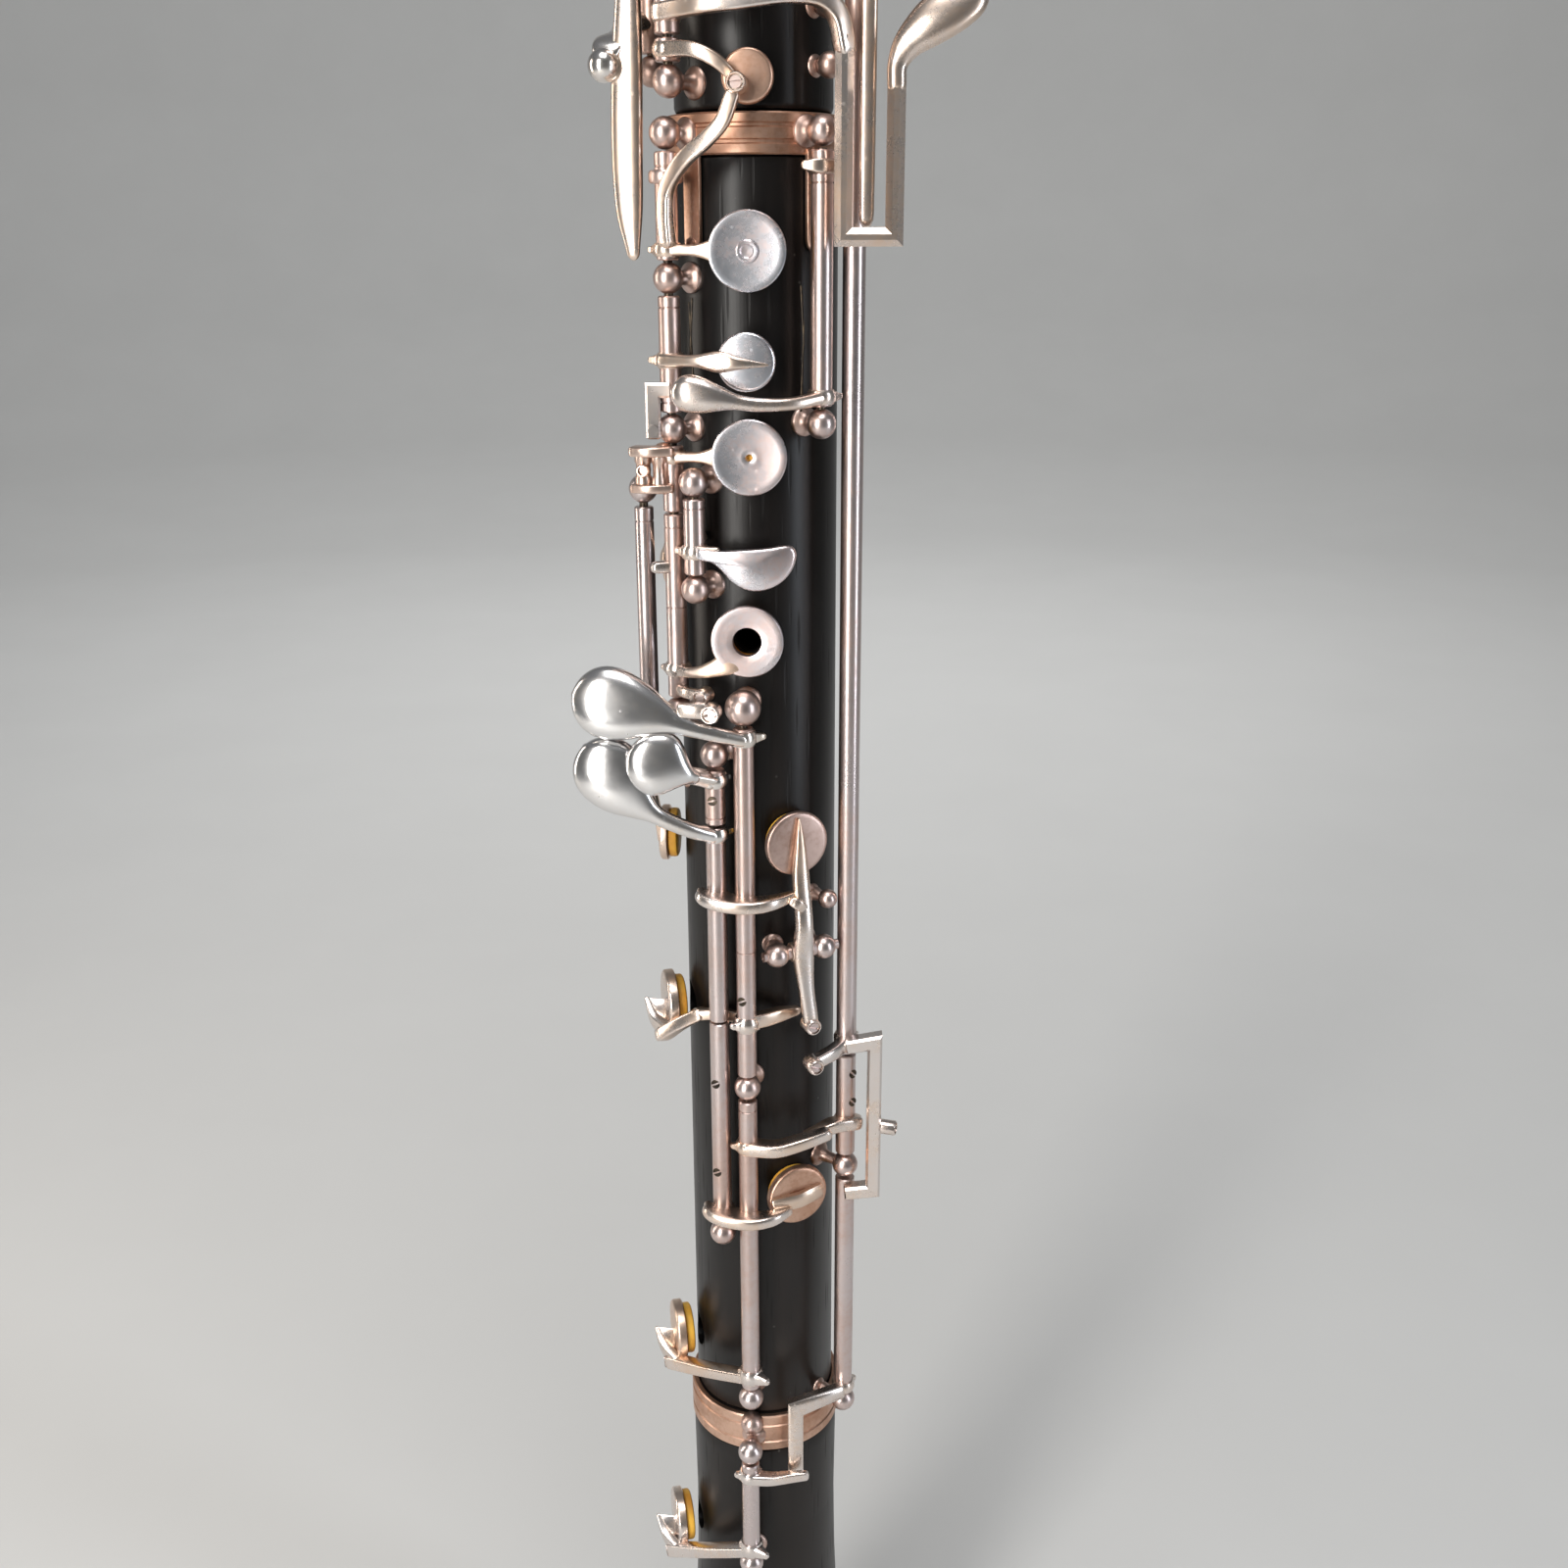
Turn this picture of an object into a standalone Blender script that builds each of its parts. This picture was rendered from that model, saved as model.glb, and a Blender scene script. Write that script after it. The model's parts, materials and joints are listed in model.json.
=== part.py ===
"""Oboe, conservatoire system: three bored wood bodies, their metal rings, and the keywork on its rods.

Numbers are millimetres and degrees; MM turns them into Blender's metres.  +Z runs up the bore towards the
reed, the origin is the middle of the bell's mouth, and the finger plates face -Y.  A place round the body is
given by its angle from the front (towards +X), its distance from the bore's axis and its height.
"""
import math

import bmesh
import bpy
from mathutils import Matrix, Vector

MM = 0.001

# --- the bodies -------------------------------------------------------------------------------------------
BELL_TOP = 125.0
LOWER_TOP = 369.8
UPPER_FOOT = 370.2
OBOE_TOP = 600.0
LOWER_R = 13.8
BELL_RING_FOOT = 116.6
SOCKET_RING_FOOT = 363.6
TURN_STEPS = 22

# --- the keywork ------------------------------------------------------------------------------------------
ROUND = 8
PLATE_ROUND = 14
BALL_R = 2.4
BALL_TURN = 0.23
TUBE_R = 1.8
TUBE_BORE = 1.2
STEEL_R = 0.75
PLATE_R = 6.15
PAD_R = 5.2
PAD_THICK = 1.6
PAD_GAP = 0.2
PLATE_THICK = 1.3
OPEN_SEAT = 1.4
SHUT_SEAT = 0.35

# Hinge lines, as X and Y of the rods that run along the body.
ROD_A = (-2.45, -18.6)
ROD_B = (-7.5, -17.2)
ROD_C = (-13.7, -12.3)
ROD_D = (16.0, -12.0)
ROD_F = (-10.2, -15.7)
ROD_TRILL = (10.75, -15.05)
ROD_BELL = (-2.7, -19.8)
ROD_SIDE = (-19.3, -6.0)
ROD_UPPER = (-12.9, -12.9)
ROD_SHAKE = (-16.6, 4.4)
ROD_THUMB = (5.6, 15.4)
ROD_OCTAVE = (16.4, 2.9)

SEESAW_ANGLE = 23.8
SEESAW_R = 18.2
SEESAW_Z = 229.5

SILVER = ((0.80, 0.76, 0.72), 0.22, 1.0)
ROSE = ((0.80, 0.62, 0.52), 0.3, 1.0)
STEEL = ((0.55, 0.56, 0.58), 0.3, 1.0)
WOOD = ((0.015, 0.013, 0.012), 0.35, 0.0)
CORK = ((0.62, 0.42, 0.22), 0.85, 0.0)
SKIN = ((0.78, 0.52, 0.16), 0.6, 0.0)


def clear_scene():
    for obj in list(bpy.data.objects):
        bpy.data.objects.remove(obj, do_unlink=True)


def collection(name):
    made = bpy.data.collections.new(name)
    bpy.context.scene.collection.children.link(made)
    return made


clear_scene()
PARTS = collection("oboe")
CUTTERS = collection("cutters")


def material(name, look):
    made = bpy.data.materials.get(name)
    if made is None:
        made = bpy.data.materials.new(name)
        made.use_nodes = True
        shader = made.node_tree.nodes["Principled BSDF"]
        shader.inputs["Base Color"].default_value = (*look[0], 1.0)
        shader.inputs["Roughness"].default_value = look[1]
        shader.inputs["Metallic"].default_value = look[2]
    return made


def around(angle, radius, z):
    """A point at this angle from the front, this far from the bore's axis."""
    turn = math.radians(angle)
    return Vector((radius * math.sin(turn), -radius * math.cos(turn), z))


def at(line, z):
    return Vector((line[0], line[1], z))


def cone(start, end, r_start, r_end=None, sides=ROUND):
    """A closed round bar, tapered when the two radii differ."""
    start, end = Vector(start), Vector(end)
    along = end - start
    spin = along.to_track_quat("Z", "Y").to_matrix().to_4x4()
    shell = bmesh.new()
    bmesh.ops.create_cone(shell, cap_ends=True, cap_tris=False, segments=sides, radius1=r_start,
                          radius2=r_start if r_end is None else r_end, depth=along.length,
                          matrix=Matrix.Translation((start + end) / 2) @ spin)
    return shell


def ball(centre, radius, squash=1.0, facing=(0, 0, 1)):
    """A ball, or a lens when it is squashed along the way it faces."""
    spin = Vector(facing).to_track_quat("Z", "Y").to_matrix().to_4x4() @ Matrix.Rotation(BALL_TURN, 4, "Z")
    shell = bmesh.new()
    placed = Matrix.Translation(Vector(centre)) @ spin @ Matrix.Diagonal((1, 1, squash, 1))
    bmesh.ops.create_uvsphere(shell, u_segments=8, v_segments=5, radius=radius, matrix=placed)
    return shell


def block(centre, size, angle=0.0):
    """A box whose first side runs round the body at this angle and whose second side points outwards."""
    shell = bmesh.new()
    turn = Matrix.Rotation(math.radians(angle), 4, "Z")
    bmesh.ops.create_cube(shell, size=1.0,
                          matrix=Matrix.Translation(Vector(centre)) @ turn @ Matrix.Diagonal((*size, 1)))
    return shell


def chain(points, radii, resolution=1):
    """A bent arm: a round wire through these points that thickens and thins with the radii."""
    curve = bpy.data.curves.new("arm", "CURVE")
    curve.dimensions = "3D"
    curve.bevel_depth = 1.0
    curve.bevel_resolution = resolution
    curve.use_fill_caps = True
    spline = curve.splines.new("POLY")
    spline.points.add(len(points) - 1)
    for knot, place_at, radius in zip(spline.points, points, radii):
        knot.co = (*place_at, 1.0)
        knot.radius = radius
    wire = bpy.data.objects.new("arm", curve)
    CUTTERS.objects.link(wire)
    graph = bpy.context.evaluated_depsgraph_get()
    mesh = bpy.data.meshes.new_from_object(wire.evaluated_get(graph))
    shell = bmesh.new()
    shell.from_mesh(mesh)
    bmesh.ops.remove_doubles(shell, verts=shell.verts, dist=0.001)
    bpy.data.objects.remove(wire)
    bpy.data.meshes.remove(mesh)
    bpy.data.curves.remove(curve)
    return [shell]


def joined(shells, origin):
    """One mesh, in metres about the origin, that holds all the shells."""
    whole = bmesh.new()
    for shell in shells:
        shell.transform(Matrix.Scale(MM, 4) @ Matrix.Translation(-Vector(origin)))
        bmesh.ops.recalc_face_normals(shell, faces=shell.faces)
        piece = bpy.data.meshes.new("shell")
        shell.to_mesh(piece)
        whole.from_mesh(piece)
        bpy.data.meshes.remove(piece)
        shell.free()
    mesh = bpy.data.meshes.new("shells")
    whole.to_mesh(mesh)
    whole.free()
    return mesh


def place(name, mesh, origin, into):
    mesh.name = name
    obj = bpy.data.objects.new(name, mesh)
    obj.location = Vector(origin) * MM
    into.objects.link(obj)
    return obj


def tool(name, shells, origin):
    """A hidden shape that the Boolean modifiers read."""
    obj = place(name, joined(shells, origin), origin, CUTTERS)
    obj.display_type = "WIRE"
    obj.hide_render = True
    obj.hide_viewport = False
    return obj


def piece(name, look, look_name, origin, shells, cuts=()):
    """One sub-part: the first shell, the others joined to it, and then the cuts."""
    origin = Vector(origin)
    obj = place(name, joined(shells[:1], origin), origin, PARTS)
    if len(shells) > 1:
        join = obj.modifiers.new("join", "BOOLEAN")
        join.operation = "UNION"
        join.solver = "EXACT"
        join.use_self = True
        join.object = tool(name + "_arms", shells[1:], origin)
    if cuts:
        cut = obj.modifiers.new("cut", "BOOLEAN")
        cut.operation = "DIFFERENCE"
        cut.solver = "EXACT"
        cut.use_self = True
        cut.object = tool(name + "_holes", list(cuts), origin)
    obj.data.materials.append(material(look_name, look))
    obj.data.shade_smooth()
    obj.data.set_sharp_from_angle(angle=math.radians(30))
    return obj


def silver(name, origin, shells, cuts=()):
    return piece(name, SILVER, "silver", origin, shells, cuts)


# --- turned pieces ----------------------------------------------------------------------------------------
def turned(name, look, look_name, outer, inner, holes=()):
    """A bored body of revolution: the outer profile from top to bottom, then the bore from bottom to top."""
    profile = [(r * MM, 0.0, z * MM) for r, z in outer + inner]
    mesh = bpy.data.meshes.new(name)
    edges = [(i, (i + 1) % len(profile)) for i in range(len(profile))]
    mesh.from_pydata(profile, edges, [])
    obj = bpy.data.objects.new(name, mesh)
    PARTS.objects.link(obj)
    screw = obj.modifiers.new("turn", "SCREW")
    screw.axis = "Z"
    screw.steps = TURN_STEPS
    screw.render_steps = TURN_STEPS
    screw.use_merge_vertices = True
    screw.merge_threshold = 0.00001
    if holes:
        cut = obj.modifiers.new("cut", "BOOLEAN")
        cut.operation = "DIFFERENCE"
        cut.solver = "EXACT"
        cut.object = tool(name + "_holes", list(holes), (0, 0, 0))
    mesh.materials.append(material(look_name, look))
    return obj


def tone_hole(angle, z, radius, inside, outside):
    return cone(around(angle, inside, z), around(angle, outside, z), radius)


def bell():
    outer = [(13.9, BELL_TOP), (13.9, BELL_RING_FOOT - 0.3), (15.0, BELL_RING_FOOT - 0.3), (14.7, 98),
             (15.2, 74), (16.6, 50), (19.0, 29), (21.6, 14), (22.6, 6), (22.6, 0)]
    inner = [(18.6, 0), (15.4, 20), (12.2, 48), (9.6, 80), (8.4, 106.5), (11.6, 106.5), (11.6, BELL_TOP)]
    turned("bell", WOOD, "grenadilla", outer, inner, [tone_hole(-77, 89.7, 3.4, 8.0, 17.0)])
    turned("bell_rim_ring", ROSE, "rose_silver", [(24.2, 6.5), (24.9, 5.4), (24.9, 1.2), (24.2, 0.2)],
           [(22.9, 0.2), (22.9, 6.5)])


def lower_joint():
    outer = [(12.6, LOWER_TOP), (12.6, SOCKET_RING_FOOT - 0.3), (13.7, SOCKET_RING_FOOT - 0.3),
             (14.0, BELL_TOP + 0.4), (10.3, BELL_TOP + 0.4), (10.3, 107.0)]
    inner = [(7.9, 107.0), (4.8, 349.2), (8.7, 349.2), (8.7, LOWER_TOP)]
    front = [(-3.1, 349.4, 2.6), (-4.2, 332.6, 1.6), (-3.1, 317.6, 2.8), (-5.2, 287.0, 2.6)]
    side = [(-98.0, 297.0, 2.4), (-93.0, 245.9, 2.6), (SEESAW_ANGLE, 249.7, 3.4), (-77.0, 213.4, 3.6),
            (SEESAW_ANGLE, 177.6, 3.4), (-77.0, 138.0, 3.8)]
    holes = [tone_hole(angle, z, r, 4.0, 16.0) for angle, z, r in front + side]
    turned("lower_joint", WOOD, "grenadilla", outer, inner, holes)


def upper_joint():
    outer = [(8.9, OBOE_TOP - 3.2), (12.2, 590), (12.4, 585), (9.4, 574), (9.2, 569), (11.2, 566),
             (11.2, 562), (10.4, 560), (12.0, 480), (12.9, UPPER_FOOT), (7.6, UPPER_FOOT), (7.6, 350.4)]
    inner = [(4.7, 350.4), (2.2, 572), (3.5, 572), (3.5, OBOE_TOP - 3.2)]
    holes = [tone_hole(angle, z, r, 3.0 if z < 450 else 1.5, 15.0) for angle, z, r in
             ((-2.5, 374.6, 1.8), (-4, 430, 2.0), (-4, 462, 1.8), (-4, 500, 1.4), (-70, 391, 2.2),
              (-140, 425, 1.6), (-140, 396, 1.6), (125, 489, 1.0), (62, 530, 1.0))]
    turned("upper_joint", WOOD, "grenadilla", outer, inner, holes)
    turned("reed_socket_ring", ROSE, "rose_silver", [(9.2, OBOE_TOP), (9.2, OBOE_TOP - 2.9)],
           [(3.6, OBOE_TOP - 2.9), (3.6, OBOE_TOP)])


def tenon_corks():
    turned("bell_tenon_cork", CORK, "cork", [(11.3, 121.0), (11.3, 109.0)], [(10.6, 109.0), (10.6, 121.0)])
    turned("middle_tenon_cork", CORK, "cork", [(8.4, 367.0), (8.4, 353.0)], [(7.9, 353.0), (7.9, 367.0)])


# --- rings and posts --------------------------------------------------------------------------------------
def post(line, z, wood_r, radius=BALL_R, foot_r=2.0):
    """A ball on a turned stem whose foot stands on the wood."""
    top = at(line, z)
    out = Vector((line[0], line[1], 0)).normalized()
    foot = out * (wood_r + 0.3) + Vector((0, 0, z))
    neck = out * (wood_r + 1.5) + Vector((0, 0, z))
    return [ball(top, radius, facing=out), cone(top, neck, 1.1, 1.1, 6),
            cone(neck + out * 0.4, foot, 1.0, foot_r, 7)]


def steel(line, low, high):
    return cone(at(line, low), at(line, high), STEEL_R, sides=6)


def ring_shell(outer_r, inner_r, low, high):
    """A plain closed band."""
    shell = bmesh.new()
    loops = []
    for radius, z in ((outer_r, high), (outer_r, low), (inner_r, low), (inner_r, high)):
        corners = [shell.verts.new(around(360 * step / TURN_STEPS, radius, z)) for step in range(TURN_STEPS)]
        loops.append(corners)
    for here, there in zip(loops, loops[1:] + loops[:1]):
        for step in range(TURN_STEPS):
            after = (step + 1) % TURN_STEPS
            shell.faces.new((here[step], here[after], there[after], there[step]))
    return shell


def bell_ring():
    low, high = BELL_RING_FOOT, BELL_TOP
    shells = [ring_shell(15.3, 14.2, low, high)]
    shells += post(ROD_BELL, 120.5, 14.6)
    piece("bell_ring", ROSE, "rose_silver", (0, 0, high), shells)


def socket_ring():
    """The ring round the lower joint's socket, its two straps, and the two posts that stand on it."""
    shells = [ring_shell(14.4, 12.9, SOCKET_RING_FOOT, LOWER_TOP)]
    for angle in (-42.0, 42.0):
        shells.append(block(around(angle, 14.55, 356.6), (3.4, 0.7, 15.0), angle))
    shells += post(ROD_C, 366.8, 13.9) + post(ROD_TRILL, 367.0, 13.9, 2.3)
    piece("socket_ring", ROSE, "rose_silver", (0, 0, LOWER_TOP), shells)


def post_line(name, line, wood_r, heights, low, high, big=None):
    """The posts of one hinge line with the steel rod that runs through them."""
    shells = [steel(line, low, high)]
    for z in heights:
        shells += post(line, z, wood_r, 3.1 if z == big else BALL_R)
    silver(name, at(line, heights[0]), shells)


def posts():
    post_line("rod_a_posts", ROD_A, LOWER_R, (275.7, 202.8, 132.9), 132.9, 275.7, big=275.7)
    post_line("rod_c_posts", ROD_C, LOWER_R, (345.3, 321.7, 273.5), 273.5, 363.9)
    post_line("f_key_posts", ROD_F, LOWER_R, (313.4, 295.6), 295.6, 313.4)
    post_line("trill_post", ROD_TRILL, LOWER_R, (322.7,), 322.7, 364.2)
    post_line("bell_key_post", ROD_BELL, 15.1, (92.4,), 92.4, 117.6)
    post_line("side_vent_posts", ROD_SIDE, LOWER_R, (311.0, 259.0), 259.0, 311.0)
    post_line("upper_rod_posts", ROD_UPPER, 12.9, (374.1, 402.0, 445.0, 490.0, 520.0), 374.1, 520.0)
    post_line("shake_key_posts", ROD_SHAKE, 12.9, (377.0, 403.0, 447.0), 377.0, 447.0)
    post_line("thumb_octave_posts", ROD_THUMB, 12.0, (476.0, 502.0), 476.0, 502.0)
    post_line("side_octave_posts", ROD_OCTAVE, 12.2, (455.0, 541.0), 455.0, 541.0)
    for name, line, z, wood_r in (("rod_b_top_post", ROD_B, 267.0, LOWER_R),
                                  ("rod_b_foot_post", ROD_B, 170.6, LOWER_R),
                                  ("rod_d_middle_post", ROD_D, 182.2, LOWER_R),
                                  ("rod_d_top_post", ROD_D, 428.0, 12.6)):
        silver(name, at(line, z), post(line, z, wood_r))
    silver("rod_d_foot_post", at(ROD_D, 127.1), post(ROD_D, 127.1, 14.0, foot_r=1.3))
    guide = (12.3, -13.2)
    silver("rod_d_guide_post", at(guide, 238.2), post(guide, 238.2, LOWER_R, 1.7, 1.7))


def seesaw_frame():
    """Where the see-saw turns: its middle, and the way along its pin."""
    middle = around(SEESAW_ANGLE, SEESAW_R, SEESAW_Z)
    turn = math.radians(SEESAW_ANGLE)
    return middle, Vector((math.cos(turn), math.sin(turn), 0)), Vector((math.sin(turn), -math.cos(turn), 0))


def seesaw_posts():
    middle, along, out = seesaw_frame()
    shells = [cone(middle - along * 4.6, middle + along * 4.6, STEEL_R, sides=6)]
    for side in (-1, 1):
        centre = middle + along * 4.6 * side
        foot_out = Vector((centre.x, centre.y, 0)).normalized()
        foot = foot_out * (LOWER_R + 0.3) + Vector((0, 0, SEESAW_Z))
        shells += [ball(centre, 2.2, facing=out), cone(centre, foot, 1.1, 1.6, 8)]
    silver("seesaw_posts", middle, shells)


def thumb_rest():
    base = block(around(180, LOWER_R + 1.0, 303.0), (11.0, 1.4, 26.0))
    hook = block(around(180, 21.5, 301.0), (12.0, 14.0, 3.0))
    rib = cone(around(180, 15.5, 312.0), around(180, 23.5, 302.0), 1.8, 1.2, 8)
    silver("thumb_rest", around(180, LOWER_R, 301.0), [hook, base, rib])


# --- keys -------------------------------------------------------------------------------------------------
def tube(line, low, high, radius=TUBE_R):
    return cone(at(line, low), at(line, high), radius)


def bore(line, low, high):
    """The hole that a steel rod runs through."""
    return cone(at(line, low - 1.0), at(line, high + 1.0), TUBE_BORE, sides=6)


def cup(angle, z, seat, radius=PLATE_R, thick=PLATE_THICK):
    """A round plate or pad cup above its pad, which sits this far from the bore's axis."""
    low = seat + PAD_THICK + PAD_GAP
    return cone(around(angle, low, z), around(angle, low + thick, z), radius, radius - 0.3, PLATE_ROUND)


def pad(name, angle, z, seat, radius=PAD_R, hole=0.0):
    shell = cone(around(angle, seat, z), around(angle, seat + PAD_THICK, z), radius, sides=PLATE_ROUND)
    cuts = [cone(around(angle, seat - 1, z), around(angle, seat + 3, z), hole)] if hole else ()
    piece(name, SKIN, "pad_skin", around(angle, seat, z), [shell], cuts)


def barrel(centre, out, length=3.2, radius=1.35):
    """The short sleeve of an adjusting screw, standing along this way."""
    middle, way = Vector(centre), Vector(out).normalized()
    return cone(middle - way * length / 2, middle + way * length / 2, radius)


def ring_keys():
    """F sharp, its small vent, E and D on the main rod, with the bridge up to the upper joint."""
    seat = LOWER_R + OPEN_SEAT
    arm_r = seat + PAD_THICK + PAD_GAP + 0.85
    line = ROD_C
    strap = chain([at(line, 352), (-11.6, -17.0, 361), (-6.0, -19.6, 367), (-2.2, -20.0, 373.3)],
                  (1.9, 1.3, 1.2, 1.1))
    shells = [tube(line, 348, 364.1), cup(-3.1, 349.4, seat), *strap,
              barrel((-2.2, -19.4, 373.3), (-0.1, -1, 0), 4.0),
              cone(at(line, 349.6), around(-22, arm_r, 349.4), 1.7, 0.8, 6)]
    silver("f_sharp_key", at(line, 349.4), shells, [bore(line, 348, 364.1)])
    pad("f_sharp_pad", -3.1, 349.4, seat)

    shells = [tube(line, 324.4, 342.6), cup(-4.2, 332.6, seat, 4.9),
              cone(at(line, 332.6), around(-10, arm_r, 332.6), 1.5, 0.8, 6),
              *chain([at(line, 328.2), (-17.3, -12.9, 328.0), (-17.5, -12.9, 323.2)], (1.3, 1.0, 1.0))]
    silver("f_sharp_vent_key", at(line, 332.6), shells, [bore(line, 324.4, 342.6)])

    shells = [tube(line, 308.2, 319.0), cup(-3.1, 317.6, seat),
              cone(at(line, 317.2), around(-22, arm_r, 317.6), 1.7, 0.8, 6),
              block((-17.4, -12.6, 314.0), (5.2, 3.0, 7.6)), barrel((-18.6, -13.8, 316.2), (0, -1, 0)),
              barrel((-18.6, -13.8, 311.8), (0, -1, 0))]
    silver("e_key", at(line, 317.6), shells, [bore(line, 308.2, 319.0)])
    pad("e_pad", -3.1, 317.6, seat)

    shells = [tube(line, 276.2, 307.8), cup(-5.2, 287.0, seat),
              cone(at(line, 281.1), around(-19, arm_r, 282.6), 1.6, 0.8, 6),
              *chain([at(line, 298.9), (-16.9, -13.6, 298.9)], (1.3, 1.0)),
              *chain([at(line, 277.6), (-9.6, -17.0, 277.6)], (1.4, 1.2)),
              barrel((-9.2, -17.8, 277.6), (-0.4, -1, 0), 3.6)]
    ring_hole = cone(around(-5.2, seat - 1, 287.0), around(-5.2, seat + 6, 287.0), 2.4)
    silver("d_ring_key", at(line, 287.0), shells, [bore(line, 276.2, 307.8), ring_hole])
    pad("d_pad", -5.2, 287.0, seat, hole=2.7)


def f_key():
    """The half-moon F touch on its own short rod, and its cup behind the main rod."""
    line = ROD_F
    seat = LOWER_R + SHUT_SEAT
    shells = [tube(line, 298.2, 310.8), cone(at(line, 301.5), around(-16, 19.0, 301.0), 1.7, 1.3, 8),
              ball(around(-2, 18.9, 300.6), 5.4, 0.22, around(-2, 1, 0)),
              *chain([at(line, 304.0), around(-36, 15.4, 304.0), around(-54, 15.0, 303.6),
                      around(-80, 15.4, 300.6), around(-98, 16.4, 297.6)], (1.0, 0.7, 0.7, 0.7, 0.9)),
              cone(around(-98, seat, 297.0), around(-98, seat + 2.4, 297.0), 4.2, 3.9, PLATE_ROUND)]
    silver("f_key", at(line, 301.0), shells, [bore(line, 298.2, 310.8)])


def trill_key():
    """The right hand's trill touch, lying across the body between the vent and the E plate."""
    line = ROD_TRILL
    shells = [tube(line, 325.5, 364.2, 1.75),
              *chain([at(line, 326.6), (5.0, -19.8, 326.4), (-8.6, -20.1, 327.8)], (1.5, 1.1, 1.3)),
              ball((-9.0, -20.0, 328.0), 3.2, 0.6, (0, -1, 0)),
              cone((12.4, -15.6, 361.7), (8.2, -16.9, 361.9), 1.0, 0.9, 7)]
    silver("trill_key", at(line, 326.5), shells, [bore(line, 325.5, 364.2)])


def low_c_key():
    line = ROD_A
    seat = LOWER_R + OPEN_SEAT
    touch = (-26.0, -20.2, 277.0)
    shells = [tube(line, 205.4, 272.2),
              *chain([at(line, 270.3), (-9.0, -21.2, 272.9), (-18.6, -21.2, 276.4), touch],
                     (1.8, 1.2, 1.6, 1.6)),
              ball(touch, 6.2, 0.28, (0.1, -1, 0.1)),
              *chain([at(line, 216.4), around(12, 15.75, 216.4), around(24, 15.75, 216.0)], (1.1, 0.75, 0.8)),
              *chain([at(line, 215.6), around(-10, 15.8, 215.4), around(-28, 15.6, 215.2),
                      around(-48, 15.7, 214.8), around(-66, 20.6, 213.6)], (1.1, 0.75, 0.7, 0.75, 1.2)),
              cup(-77, 213.4, seat, 5.8, 1.9)]
    silver("low_c_key", at(line, 270.3), shells, [bore(line, 205.4, 272.2)])
    pad("low_c_pad", -77, 213.4, seat, 4.8)


def low_b_key():
    line = ROD_A
    seat = LOWER_R + OPEN_SEAT + 0.2
    shells = [tube(line, 135.6, 200.1),
              *chain([at(line, 190.3), (4.0, -20.4, 190.5), (10.2, -19.3, 191.6)], (1.5, 1.0, 0.9)),
              *chain([at(line, 138.4), around(-34, 18.4, 138.2), around(-66, 20.8, 138.0)], (1.6, 1.3, 1.2)),
              cup(-77, 138.0, seat, 5.9, 1.9)]
    silver("low_b_key", at(line, 190.3), shells, [bore(line, 135.6, 200.1)])
    pad("low_b_pad", -77, 138.0, seat, 5.0)


def crescent(z, tip):
    """An arm from rod B that curves round the outside of rod A and comes back in."""
    return chain([at(ROD_B, z), (-7.3, -20.6, z), (-2.4, -22.5, z), (2.2, -21.2, z), tip],
                 (1.8, 1.1, 1.1, 1.1, 0.8))


def rod_b_keys():
    """The E flat touch is the outer tube; the C sharp key is pinned above and below it to the rod inside."""
    line = ROD_B
    touch = (-26.6, -20.2, 263.3)
    low, high = 216.0, 253.7
    shells = [tube(line, low, high),
              *chain([at(line, 252.2), (-11.5, -20.4, 253.0), (-19.5, -20.6, 256.6), touch],
                     (1.4, 1.2, 1.4, 1.6)),
              ball(touch, 6.2, 0.28, (0.1, -1, 0.1)), *crescent(240.0, (5.6, -17.1, 240.0))]
    silver("e_flat_touch", at(line, 252.4), shells, [bore(line, low, high)])

    seat = LOWER_R + SHUT_SEAT
    touch = (-17.3, -22.6, 266.8)
    shells = [tube(line, 174.0, 215.6), cone(at(line, 214.0), at(line, 256.0), STEEL_R, sides=6),
              tube(line, 254.3, 264.3),
              *chain([at(line, 262.6), (-10.4, -21.2, 263.6), touch], (1.5, 1.2, 1.4)),
              ball(touch, 5.7, 0.26, (0, -1, 0.1)), *crescent(175.4, (5.0, -18.2, 176.6)),
              cone(around(SEESAW_ANGLE, seat + 1.8, 177.6), around(SEESAW_ANGLE, seat + 3.6, 177.6), 5.9, 5.6,
                   PLATE_ROUND),
              cone((4.4, -18.5, 176.4), (9.2, -16.0, 179.2), 0.8, 0.8, 6)]
    silver("c_sharp_key", at(line, 262.6), shells)
    pad("c_sharp_pad", SEESAW_ANGLE, 177.6, seat)


def seesaw():
    """The E flat cup on a lever that rocks on a cross pin."""
    middle, along, out = seesaw_frame()
    seat = LOWER_R + SHUT_SEAT
    up = Vector((0, 0, 1))
    cup_top = around(SEESAW_ANGLE, seat + 3.5, 250.2)
    tail = middle + out * 2.4 - up * 13.4 + along * 1.0
    shells = [cone(middle - along * 2.0, middle + along * 2.0, 1.75),
              *chain([cup_top, middle + out * 1.3 + up * 6, middle + out * 1.2, tail], (0.9, 1.3, 1.4, 1.2)),
              cup(SEESAW_ANGLE, 249.7, seat, 5.9),
              cone(middle + out * 1.3 + up * 8.4, around(17.5, 20.0, 240.0), 1.0, 0.8, 6),
              barrel(tail - up * 0.6, out, 3.0)]
    pin_hole = cone(middle - along * 3, middle + along * 3, TUBE_BORE)
    silver("e_flat_cup_lever", middle, shells, [pin_hole])
    pad("e_flat_pad", SEESAW_ANGLE, 249.7, seat)


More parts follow.
